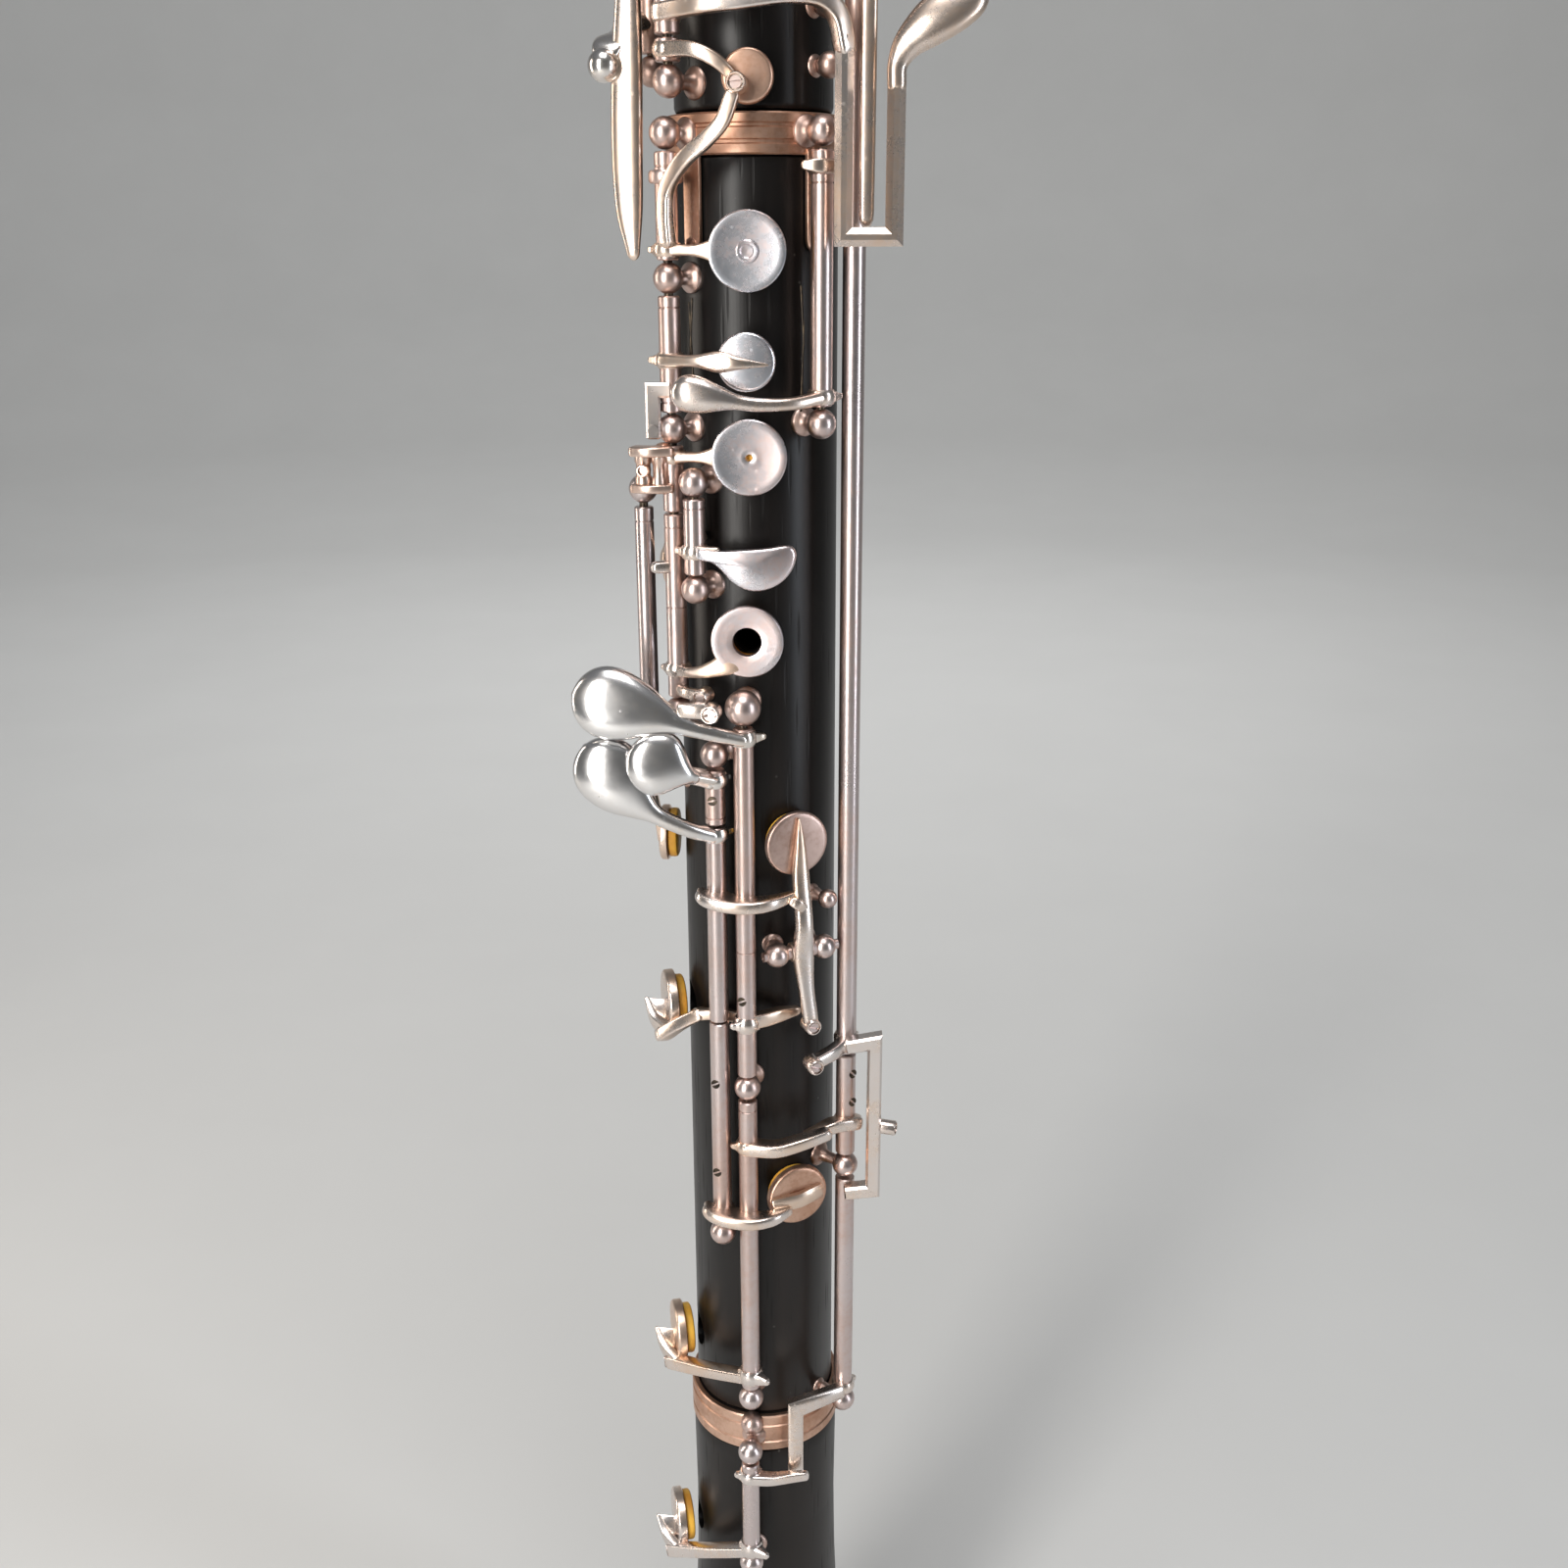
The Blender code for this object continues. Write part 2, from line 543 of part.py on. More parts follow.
def rod_d_levers():
    """Low B flat turns the outer tube; low B turns the rod inside it and the short sleeve below."""
    line = ROD_D
    top = 425.2
    shells = [tube(line, 206.6, top, 1.8), tube(line, 129.5, 179.5, 1.8),
              *chain([at(line, 209.9), (21.4, -14.4, 209.9), (21.4, -14.4, 178.4), at(line, 178.4)],
                     (1.3, 1.1, 1.1, 1.3)),
              *chain([at(line, 209.0), (12.0, -17.0, 208.8), (9.9, -19.6, 208.4)], (1.3, 1.0, 1.0)),
              barrel((9.7, -20.0, 208.2), (0.4, -1, 0)), barrel((23.7, -14.6, 191.8), (1, -0.2, 0)),
              *chain([at(line, 130.8), (11.0, -17.0, 130.8), (7.4, -18.6, 130.6), (7.4, -18.6, 114.6),
                      (5.2, -18.6, 114.6)], (1.4, 1.1, 1.1, 1.0, 0.8)),
              *chain([at(line, 415.0), (20.0, -15.4, 413.0), (27.0, -17.0, 409.0)], (1.6, 1.3, 1.5)),
              ball((30.5, -17.2, 405.6), 6.4, 0.3, (0.2, -1, 0.2)),
              *chain([at(line, 398.6), (17.6, -16.2, 398.0), (17.6, -16.4, 352.6)], (1.3, 0.9, 0.9))]
    silver("low_b_flat_lever", at(line, 209.9), shells, [bore(line, 206.6, top)])

    shells = [tube(line, 185.0, 206.2, 1.8), cone(at(line, 204.0), at(line, 425.5), STEEL_R, sides=6),
              *chain([at(line, 192.4), (11.8, -15.6, 192.0), (8.6, -17.2, 191.2)], (1.4, 1.0, 0.8))]
    silver("low_b_lever", at(line, 192.4), shells)


def bell_key():
    line = ROD_BELL
    seat = 15.1 + OPEN_SEAT
    shells = [tube(line, 95.0, 117.8),
              *chain([at(line, 115.0), (2.6, -20.9, 115.0), (8.2, -20.6, 114.8)], (1.5, 1.0, 0.9)),
              *chain([at(line, 96.8), around(-36, 20.2, 94.6), around(-66, 21.8, 91.0)], (1.5, 1.3, 1.2)),
              cup(-77, 89.7, seat, 5.9, 1.9)]
    silver("bell_key", at(line, 115.0), shells, [bore(line, 95.0, 117.8)])
    pad("bell_pad", -77, 89.7, seat, 5.1)


def side_vent_key():
    line = ROD_SIDE
    seat = LOWER_R + OPEN_SEAT
    shells = [tube(line, 261.8, 308.0, 1.6),
              *chain([at(line, 266.0), (-19.9, 0.4, 258.0), around(-93, 18.4, 248.0)], (1.3, 1.1, 1.2)),
              cup(-93, 245.9, seat, 5.2, 1.6)]
    silver("side_vent_key", at(line, 266.0), shells, [bore(line, 261.8, 308.0)])
    pad("side_vent_pad", -93, 245.9, seat, 4.6)


# --- keys of the upper joint ------------------------------------------------------------------------------
def bridge_key():
    """The small cup that the F sharp key's bridge shuts."""
    line = ROD_UPPER
    seat = 12.9 + OPEN_SEAT - 0.1
    shells = [tube(line, 376.8, 380.1, 1.9),
              *chain([at(line, 378.5), (-8.0, -17.4, 378.6), (-3.6, -16.9, 376.0)], (1.4, 0.9, 0.9)),
              cone(around(-2.5, seat, 374.6), around(-2.5, seat + 2.4, 374.6), 4.2, 4.0, PLATE_ROUND)]
    silver("bridge_key", at(line, 378.5), shells, [bore(line, 376.8, 380.1)])


def g_sharp_key():
    """A long lever across the front; its frame hangs beside rod D and rises to the little finger's spatula."""
    line = ROD_UPPER
    seat = 12.9 + SHUT_SEAT
    frame = [at(line, 383.4), (-4.0, -19.4, 384.0), (9.5, -19.9, 385.2), (13.7, -18.8, 378.0),
             (13.7, -18.8, 351.2), (22.0, -18.8, 351.2), (22.0, -18.8, 376.5), (27.5, -18.6, 382.5)]
    shells = [tube(line, 380.6, 399.3, 1.9), *chain(frame, (1.6, 1.2, 1.2, 1.1, 1.1, 1.1, 1.3, 1.6)),
              ball((31.5, -18.4, 386.4), 6.2, 0.3, (0.1, -1, -0.3)),
              *chain([at(line, 391.0), around(-62, 15.9, 391.0)], (1.2, 0.9)),
              cone(around(-70, seat, 391.0), around(-70, seat + 2.4, 391.0), 4.2, 3.9, PLATE_ROUND)]
    silver("g_sharp_key", at(line, 383.4), shells, [bore(line, 380.6, 399.3)])


def left_hand_plates():
    """G, A and the half-hole plate of the left hand."""
    line = ROD_UPPER
    for name, low, high, z, wood_r in (("g_key", 404.6, 442.4, 430.0, 12.5),
                                       ("a_key", 447.6, 487.4, 462.0, 12.2),
                                       ("half_hole_key", 492.6, 517.4, 500.0, 11.8)):
        seat = wood_r + OPEN_SEAT
        arm_end = around(-14, seat + 2.4, z)
        shells = [tube(line, low, high, 1.9),
                  cone(around(-4, seat, z), around(-4, seat + 3.1, z), 6.3, 6.0, PLATE_ROUND),
                  cone(at(line, z), arm_end, 1.6, 1.1, 8)]
        silver(name, at(line, z), shells, [bore(line, low, high)])


def octave_keys():
    line = ROD_THUMB
    seat = 12.0 + SHUT_SEAT
    shells = [tube(line, 478.6, 499.4, 1.8), *chain([at(line, 489.0), around(184, 18.2, 487.0)], (1.5, 1.3)),
              ball(around(190, 17.8, 486.0), 5.2, 0.3, around(190, 1, 0)),
              *chain([at(line, 490.0), around(132, 14.9, 489.0)], (1.3, 0.9)),
              cone(around(125, seat, 489.0), around(125, seat + 2.2, 489.0), 3.8, 3.5, PLATE_ROUND)]
    silver("thumb_octave_key", at(line, 489.0), shells, [bore(line, 478.6, 499.4)])

    line = ROD_OCTAVE
    seat = 11.3 + SHUT_SEAT
    shells = [tube(line, 457.6, 538.4, 1.8), *chain([at(line, 462.0), around(120, 18.0, 462.0)], (1.5, 1.2)),
              ball(around(128, 17.6, 463.0), 4.6, 0.3, around(128, 1, 0)),
              *chain([at(line, 531.0), around(67, 14.2, 530.0)], (1.3, 0.9)),
              cone(around(62, seat, 530.0), around(62, seat + 2.2, 530.0), 3.8, 3.5, PLATE_ROUND)]
    silver("side_octave_key", at(line, 462.0), shells, [bore(line, 457.6, 538.4)])


def shake_keys():
    """The two side touches that hang down over the lower joint."""
    line = ROD_SHAKE
    seat = 12.8 + SHUT_SEAT
    shells = [tube(line, 405.6, 444.4, 1.8),
              *chain([at(line, 410.0), (-19.8, -3.0, 405.0), (-18.9, -9.8, 388.0), (-19.7, -10.8, 373.0),
                      (-20.4, -10.4, 350.0)], (1.4, 1.0, 1.0, 1.7, 1.2)),
              *chain([at(line, 425.0), around(-132, 15.2, 425.0)], (1.3, 0.9)),
              cone(around(-140, seat, 425.0), around(-140, seat + 2.2, 425.0), 3.9, 3.6, PLATE_ROUND)]
    silver("long_shake_key", at(line, 408.0), shells, [bore(line, 405.6, 444.4)])

    shells = [tube(line, 379.6, 400.4, 1.8),
              *chain([at(line, 384.0), (-22.0, -4.0, 381.6), (-23.4, -11.4, 378.0)], (1.3, 1.0, 1.1)),
              ball((-23.0, -13.6, 376.2), 4.0, 0.5, (-1, -0.6, 0.2)),
              *chain([at(line, 396.0), around(-132, 15.2, 396.0)], (1.3, 0.9)),
              cone(around(-140, seat, 396.0), around(-140, seat + 2.2, 396.0), 3.9, 3.6, PLATE_ROUND)]
    silver("short_shake_key", at(line, 384.0), shells, [bore(line, 379.6, 400.4)])


def main():
    bell()
    lower_joint()
    upper_joint()
    tenon_corks()
    bell_ring()
    socket_ring()
    posts()
    seesaw_posts()
    thumb_rest()
    ring_keys()
    f_key()
    trill_key()
    low_c_key()
    low_b_key()
    rod_b_keys()
    seesaw()
    rod_d_levers()
    bell_key()
    side_vent_key()
    bridge_key()
    g_sharp_key()
    left_hand_plates()
    octave_keys()
    shake_keys()


main()
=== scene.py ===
"""Oboe, finished: turned grenadilla, silver keywork tarnished warm with painted shade near the wood and painted
reflections in its base colours, skin pads, needle springs and screws.

Every shape is worked out in millimetres about the bore's axis, from the frame's own hinges and boxes, and each
finished piece takes the place of the frame's plain solid.
"""
import json
import math

import bpy
import numpy as np
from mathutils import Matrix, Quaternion, Vector


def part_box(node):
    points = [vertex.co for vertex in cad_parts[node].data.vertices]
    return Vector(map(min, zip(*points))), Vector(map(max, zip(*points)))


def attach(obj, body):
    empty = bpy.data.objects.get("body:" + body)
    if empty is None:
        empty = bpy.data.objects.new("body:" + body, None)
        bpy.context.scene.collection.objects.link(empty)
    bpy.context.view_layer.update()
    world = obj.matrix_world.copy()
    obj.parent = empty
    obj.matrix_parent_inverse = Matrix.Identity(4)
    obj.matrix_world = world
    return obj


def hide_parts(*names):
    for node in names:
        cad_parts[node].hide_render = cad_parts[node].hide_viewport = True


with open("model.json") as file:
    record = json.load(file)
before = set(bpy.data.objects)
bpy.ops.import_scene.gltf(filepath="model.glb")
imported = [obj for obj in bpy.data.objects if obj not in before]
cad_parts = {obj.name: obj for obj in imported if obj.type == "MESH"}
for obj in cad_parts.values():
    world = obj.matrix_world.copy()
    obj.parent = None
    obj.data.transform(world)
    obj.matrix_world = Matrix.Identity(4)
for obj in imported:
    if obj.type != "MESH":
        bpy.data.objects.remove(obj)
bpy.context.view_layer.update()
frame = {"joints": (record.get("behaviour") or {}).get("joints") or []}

MM = 0.001
UP = np.array((0.0, 0.0, 1.0))
HINGES = {joint["child"]: np.array(joint["pos_m"]) / MM for joint in frame["joints"]}
LENS_MM = 36.56
AIM = Vector((0.0045, 0.0, 0.2556))
AIM_DISTANCE = 0.295
TILT = math.radians(19.0)
ROLL = math.radians(-0.2)
PLATE_ANGLE = -3.1
RING_ANGLE = -5.2
VENT_ANGLE = -4.2
LEVER_ANGLE = 23.8
SIDE_ANGLE = -77
BALL_R = 2.45
TUBE_R = 1.78
PAD_THICK = 1.6


# --- places ---------------------------------------------------------------------------------------
def around(angle, radius, z):
    """A point this many degrees from the front towards +X, this far from the bore's axis."""
    turn = math.radians(angle)
    return np.array((radius * math.sin(turn), -radius * math.cos(turn), z))


def box(node):
    low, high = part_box(node)
    return np.array(low) / MM, np.array(high) / MM


def unit(vector):
    vector = np.asarray(vector, float)
    return vector / np.linalg.norm(vector)


def outward(point):
    return unit((point[0], point[1], 0.0))


# --- shapes ---------------------------------------------------------------------------------------
class Work:
    """Closed shells in millimetres, gathered into one piece; each takes the finish set at the time."""

    def __init__(self, finish):
        self.points = []
        self.faces = []
        self.tints = []
        self.finish = finish

    def add(self, points, faces):
        """Takes a closed shell, turned so that its faces point outwards."""
        points = np.asarray(points, float)
        volume = 0.0
        for face in faces:
            first = points[face[0]]
            for second, third in zip(face[1:], face[2:]):
                volume += float(np.dot(first, np.cross(points[second], points[third])))
        if volume < 0:
            faces = [tuple(reversed(face)) for face in faces]
        start = len(self.points)
        self.points.extend(points)
        self.faces.extend(tuple(start + corner for corner in face) for face in faces)
        self.tints.extend([self.finish] * len(faces))
        return self

    def loft(self, rings, loop=False):
        """Skins the rings in order; the two ends are closed with a fan, or to each other."""
        rings = [np.asarray(ring, float) for ring in rings]
        count = len(rings[0])
        points = [point for ring in rings for point in ring]
        faces = []
        for row in range(len(rings) if loop else len(rings) - 1):
            here, there = row * count, (row + 1) % len(rings) * count
            for step in range(count):
                after = (step + 1) % count
                faces.append((here + step, here + after, there + after, there + step))
        if not loop:
            for row in (0, len(rings) - 1):
                hub = len(points)
                points.append(rings[row].mean(axis=0))
                for step in range(count):
                    pair = (row * count + step, row * count + (step + 1) % count)
                    faces.append((hub, *(pair if row else reversed(pair))))
        return self.add(points, faces)

    def spin(self, profile, base, axis, steps=40, loop=False):
        """Turns a profile of radius and height about an axis through the base."""
        axis = unit(axis)
        side = unit(np.cross(axis, (0.31, 0.17, 0.93) if abs(axis[2]) < 0.9 else (1.0, 0.0, 0.0)))
        other = np.cross(axis, side)
        turns = np.linspace(0, 2 * math.pi, steps, endpoint=False)
        wheel = np.outer(np.cos(turns), side) + np.outer(np.sin(turns), other)
        rings = [np.asarray(base) + axis * height + wheel * max(radius, 0.004) for radius, height in profile]
        return self.loft(rings, loop)

    def sweep(self, spots, wide, high, facing=None, sides=24, square=4.5, blunt=(0.5, 0.5)):
        """A bar of rounded section along these spots; its top looks along facing, or else outwards."""
        along = np.gradient(spots, axis=0)
        turns = np.linspace(0, 2 * math.pi, sides, endpoint=False)
        cos, sin = np.cos(turns), np.sin(turns)
        flat = np.sign(cos) * np.abs(cos) ** (2 / square)
        tall = np.sign(sin) * np.abs(sin) ** (2 / square)

        def ring(index, scale=1.0, push=0.0):
            spot, way = spots[index], unit(along[index])
            top = outward(spot) if facing is None else unit(facing)
            top = unit(top - way * float(np.dot(top, way)))
            half_w, half_h = max(wide[index], 0.05) / 2 * scale, max(high[index], 0.05) / 2 * scale
            return spot + way * push + np.outer(flat * half_w,
                                                np.cross(way, top)) + np.outer(tall * half_h, top)

        start, end = (min(wide[row], high[row]) * share for row, share in zip((0, -1), blunt))
        bends = [math.radians(degrees) for degrees in (75, 50, 25)]
        rings = [ring(0, math.cos(bend), -math.sin(bend) * start) for bend in bends]
        rings += [ring(index) for index in range(len(spots))]
        rings += [ring(-1, math.cos(bend), math.sin(bend) * end) for bend in reversed(bends)]
        return self.loft(rings)

    def arm(self, route, widths, heights, fine=7, **shape):
        """A bar that follows a smooth route while its width and height change."""
        spots = smooth(np.asarray(route, float), fine)
        wide, high = (smooth(np.asarray(values, float)[:, None], fine)[:, 0] for values in (widths, heights))
        return self.sweep(spots, wide, high, **shape)

    def spoon(self, route, widths, heights, radius, thick, flank=1.9, fine=9, **shape):
        """An arm that swells into a round touch whose middle is the route's last point."""
        spots = smooth(np.asarray(route, float), fine)
        wide, high = (smooth(np.asarray(values, float)[:, None], fine)[:, 0] for values in (widths, heights))
        onward = unit(spots[-1] - spots[-2])
        steps = radius * np.sin(np.radians(np.linspace(8, 86, 12)))
        spots = np.vstack((spots, spots[-1] + np.outer(steps, onward)))
        wide = np.append(wide, np.full(len(steps), wide[-1]))
        high = np.append(high, np.full(len(steps), high[-1]))
        run = np.append(0, np.cumsum(np.linalg.norm(np.diff(spots, axis=0), axis=1)))
        ahead = run - run[-1 - len(steps)]
        swell = np.clip(1 + ahead / (radius * flank), 0, 1)
        swell = swell * swell * (3 - 2 * swell)
        edge = np.sqrt(np.clip(1 - (np.clip(ahead, 0, None) / radius) ** 2, 0.0, 1))
        grown = (wide * (1 - swell) + 2 * radius * swell) * edge
        deep = (high * (1 - swell) + thick * swell) * (0.25 + 0.75 * edge)
        return self.sweep(spots, grown, deep, blunt=(0.5, 0.15), **shape)

    def slab(self, outline, centre, across, rise, thick, crown=0.3, ease=0.3, bow=0.0):
        """A plate cut to an outline, with eased edges and a crowned top; bow bends it round the body."""
        across, rise = unit(across), unit(rise)
        top = unit(np.cross(across, rise))
        if np.dot(top, outward(centre)) < 0:
            top = -top
        outline = np.asarray(outline, float)
        hub = outline.mean(axis=0)
        reach = np.linalg.norm(outline - hub, axis=1).mean()
        rings = []
        levels = [(0.5, -thick / 2), (1 - ease / reach, -thick / 2), (1, -thick / 2 + ease),
                  (1, thick / 2 - ease), (1 - ease * 0.4 / reach, thick / 2 - ease * 0.3),
                  (1 - ease / reach, thick / 2)]
        levels += [(share * (1 - ease / reach), thick / 2 + crown * (1 - share * share))
                   for share in (0.85, 0.65, 0.45, 0.25, 0.1)]
        for share, height in levels:
            flat = hub + (outline - hub) * share
            lift = height - bow * flat[:, 0] ** 2
            rings.append(np.asarray(centre) + np.outer(flat[:, 0], across) + np.outer(flat[:, 1], rise)
                         + np.outer(lift, top))
        return self.loft(rings)

    def mitred(self, route, width, depth, facing=(0, -1, 0), ease=0.3):
        """A square bar with mitred corners; width lies in the plane of its bends and depth along facing."""
        facing = unit(facing)
        route = np.asarray(route, float)
        ways = [unit(after - spot) for spot, after in zip(route, route[1:])]
        sides = [unit(np.cross(way, facing)) for way in ways]
        section = [(1, 1 - ease), (1, ease - 1), (1 - ease, -1), (ease - 1, -1), (-1, ease - 1), (-1, 1 - ease),
                   (ease - 1, 1), (1 - ease, 1)]
        rings = []
        for index, spot in enumerate(route):
            first, last = sides[max(index - 1, 0)], sides[min(index, len(sides) - 1)]
            side = unit(first + last)
            side = side / float(np.dot(side, last))
            end = {0: -1, len(route) - 1: 1}.get(index, 0)
            shapes = [(0.8, 0.0), (1.0, -0.25)] if end else [(1.0, 0.0)]
            for scale, push in shapes if end < 0 else reversed(shapes):
                rings.append([spot + ways[min(index, len(ways) - 1)] * push * end
                              + (side * a * width + facing * b * depth) * scale / 2 for a, b in section])
        return self.loft(rings)

    def ball(self, centre, radius, axis=UP, squash=1.0, steps=32):
        profile = [(radius * math.cos(math.radians(a)), radius * squash * math.sin(math.radians(a)))
                   for a in range(-90, 91, 10)]
        return self.spin(profile, centre, axis, steps)

    def tube(self, line, low, high, radius=TUBE_R, rings=()):
        """A hinge tube with eased ends and fine grooves where its parts meet."""
        ease = 0.22
        profile = [(0, low), (radius - ease, low), (radius, low + ease)]
        for z in sorted(rings):
            profile += [(radius, z - 0.16), (radius - 0.16, z - 0.05), (radius - 0.16, z + 0.05),
                        (radius, z + 0.16)]
        profile += [(radius, high - ease), (radius - ease, high), (0, high)]
        return self.spin(profile, (line[0], line[1], 0.0), UP, 40)

    def mesh(self, name):
        mesh = bpy.data.meshes.new(name)
        mesh.from_pydata([tuple(point * MM) for point in self.points], [], self.faces)
        used = list(dict.fromkeys(self.tints))
        for finish in used:
            mesh.materials.append(finish)
        mesh.polygons.foreach_set("material_index", [used.index(tint) for tint in self.tints])
        return mesh

    def piece(self, name, body, slot, replaced=(), holes=None):
        """Makes the mesh in metres, cuts its holes, shades it, and hands it to its body."""
        mesh = self.mesh(name)
        if holes:
            mesh = cut_away(mesh, holes.mesh("holes"))
        mesh.shade_smooth()
        mesh.set_sharp_from_angle(angle=math.radians(38))
        made = bpy.data.objects.new(name, mesh)
        bpy.context.scene.collection.objects.link(made)
        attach(made, body)
        if replaced:
            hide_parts(*replaced)

    def key(self, key, name=""):
        """Hands over a finished key, which takes the place of the node of the same name."""
        self.piece("plated_" + (name or key), key, "silver", (key,))


def cut_away(mesh, cutter):
    """The mesh with another taken out of it."""
    whole, part = (bpy.data.objects.new(each.name, each) for each in (mesh, cutter))
    for each in (whole, part):
        bpy.context.scene.collection.objects.link(each)
    cut = whole.modifiers.new("cut", "BOOLEAN")
    cut.operation, cut.solver, cut.object = "DIFFERENCE", "EXACT", part
    made = bpy.data.meshes.new_from_object(whole.evaluated_get(bpy.context.evaluated_depsgraph_get()))
    for each in (whole, part):
        bpy.data.objects.remove(each)
    return made


def smooth(values, fine):
    """Points on a smooth curve through the given ones."""
    if len(values) < 3:
        steps = np.linspace(0, 1, fine + 1)[:, None]
        return values[0] * (1 - steps) + values[-1] * steps
    padded = np.vstack((2 * values[0] - values[1], values, 2 * values[-1] - values[-2]))
    made = []
    for before, start, end, after in zip(padded, padded[1:], padded[2:], padded[3:]):
        for step in range(fine):
            t = step / fine
            made.append(0.5 * (2 * start + (end - before) * t
                               + (2 * before - 5 * start + 4 * end - after) * t * t
                               + (3 * start - before - 3 * end + after) * t ** 3))
    made.append(values[-1])
    return np.asarray(made)


# --- finishes -------------------------------------------------------------------------------------
class Value:
    """A number socket that can be used in sums; each operator adds its Math node."""

    def __init__(self, finish, socket):
        self.finish = finish
        self.socket = socket

    def math(self, operation, first, second=None):
        node = self.finish.node("ShaderNodeMath", {"operation": operation}, {0: first, 1: second})
        return Value(self.finish, node.outputs[0])

    def __add__(self, other):
        return self.math("ADD", self, other)

    def __sub__(self, other):
        return self.math("SUBTRACT", self, other)

    def __mul__(self, other):
        return self.math("MULTIPLY", self, other)

    def __rsub__(self, other):
        return self.math("SUBTRACT", other, self)

    __radd__ = __add__
    __rmul__ = __mul__

    def between(self, low, high):
        """0 below low, 1 above high, eased in between."""
        node = self.finish.node("ShaderNodeMapRange", {"interpolation_type": "SMOOTHSTEP"},
                                {"Value": self, "From Min": low, "From Max": high})
        return Value(self.finish, node.outputs["Result"])


class Finish:
    """A material while its nodes are being wired."""

    def __init__(self, name):
        self.material = bpy.data.materials.new(name)
        self.material.use_nodes = True
        self.tree = self.material.node_tree
        self.shader = self.tree.nodes["Principled BSDF"]
        self.place = self.node("ShaderNodeTexCoord").outputs["Object"]

    def node(self, kind, settings=None, sockets=None):
        made = self.tree.nodes.new(kind)
        for name, value in (settings or {}).items():
            setattr(made, name, value)
        for name, value in (sockets or {}).items():
            if value is not None:
                self.feed(made.inputs[name], value)
        return made

    def feed(self, socket, value):
        if isinstance(value, Value):
            value = value.socket
        if isinstance(value, bpy.types.NodeSocket):
            self.tree.links.new(value, socket)
        elif isinstance(value, tuple) and len(value) == 3 and len(socket.default_value) == 4:
            socket.default_value = (*value, 1.0)
        else:
            socket.default_value = value

    def noise(self, scale, detail=3.0, rough=0.55, stretch=None, shift=(0, 0, 0)):
        place = self.place
        if stretch:
            place = self.node("ShaderNodeMapping", None, {"Vector": place, "Scale": stretch, "Location": shift})
            place = place.outputs[0]
        made = self.node("ShaderNodeTexNoise", None,
                         {"Vector": place, "Scale": scale, "Detail": detail, "Roughness": rough})
        return Value(self, made.outputs["Fac"])

    def cells(self, scale, stretch=None):
        place = self.place
        if stretch:
            place = self.node("ShaderNodeMapping", None, {"Vector": place, "Scale": stretch}).outputs[0]
        made = self.node("ShaderNodeTexVoronoi", None, {"Vector": place, "Scale": scale})
        return Value(self, made.outputs["Distance"])

    def distance_from_bore(self):
        flat = self.node("ShaderNodeVectorMath", {"operation": "MULTIPLY"}, {0: self.place, 1: (1.0, 1.0, 0.0)})
        length = self.node("ShaderNodeVectorMath", {"operation": "LENGTH"}, {0: flat.outputs[0]})
        return Value(self, length.outputs["Value"])

    def mix(self, share, first, second):
        made = self.node("ShaderNodeMix", {"data_type": "RGBA"}, {0: share, 6: first, 7: second})
        return made.outputs[2]

    def bump(self, height, strength, depth):
        made = self.node("ShaderNodeBump", None, {"Height": height, "Strength": strength, "Distance": depth})
        self.feed(self.shader.inputs["Normal"], made.outputs[0])

    def look(self, **sockets):
        for name, value in sockets.items():
            self.feed(self.shader.inputs[name.replace("_", " ")], value)
        return self.material


def grenadilla():
    finish = Finish("grenadilla")
    grain = finish.noise(55.0, 5.0, 0.6, (1.0, 1.0, 0.06))
    pores = finish.cells(900.0, (1.0, 1.0, 0.07)).between(0.30, 0.12)
    haze = finish.noise(30.0, 3.0, 0.5)
    dust = finish.cells(260.0).between(0.085, 0.03) * finish.noise(45.0, 1.0).between(0.5, 0.68)
    wood = finish.mix(grain.between(0.35, 0.75), (0.004, 0.0035, 0.0035), (0.015, 0.011, 0.009))
    tinting = finish.mix(haze.between(0.45, 0.8) * 0.30, wood, (0.020, 0.019, 0.020))
    colour = finish.mix(dust * 0.5, tinting, (0.16, 0.15, 0.14))
    finish.bump(grain * 0.35 - pores * 0.5 + dust * 0.6, 0.22, 0.0002)
    return finish.look(Base_Color=colour, Roughness=haze * 0.18 + grain * 0.12 + pores * 0.15 + 0.20,
                       Specular_IOR_Level=0.28)


def plated(name, bright, warm, deep, rough, tint_strength, shade_and_tarnish_near_wood=0.55):
    """Silver plate gone rose and gold in random patches and near the wood; near the wood it is partly tarnished
    where a cloth doesn't reach and partly painted shade between the keys and the body.
    """
    finish = Finish(name)
    cloud = finish.noise(95.0, 4.0, 0.6)
    blush = finish.noise(34.0, 2.0, 0.5, (1.0, 1.0, 0.6), (0.3, 0.1, 0.2))
    grain = finish.noise(2500.0, 2.0, 0.6)
    specks = finish.cells(420.0).between(0.16, 0.05)
    mottle = finish.noise(900.0, 3.0, 0.65)
    # painted shade: close to the wood the silver is pushed towards its darker, warmer colours, partly tarnished
    # where a cloth doesn't reach and partly standing in for the shade between the keys and the body
    near = finish.distance_from_bore().between(0.0222, 0.0160)
    tinting = near * shade_and_tarnish_near_wood + blush.between(0.35,
                                          0.75) * 0.45 + cloud.between(0.4,
                                                                       0.7) * 0.25 + mottle.between(0.42,
                                                                                                    0.68) * 0.14
    discolouring = tinting * tint_strength
    first = finish.mix(discolouring.between(0.05, 0.62), bright, warm)
    colour = finish.mix(discolouring.between(0.55, 1.15), first, deep)
    finish.bump(grain * 0.5 + specks * 0.5, 0.10, 0.00006)
    return finish.look(Base_Color=colour, Metallic=1.0,
                       Roughness=cloud * 0.10 + discolouring * 0.14 + grain * 0.06 + specks * 0.08 + rough)


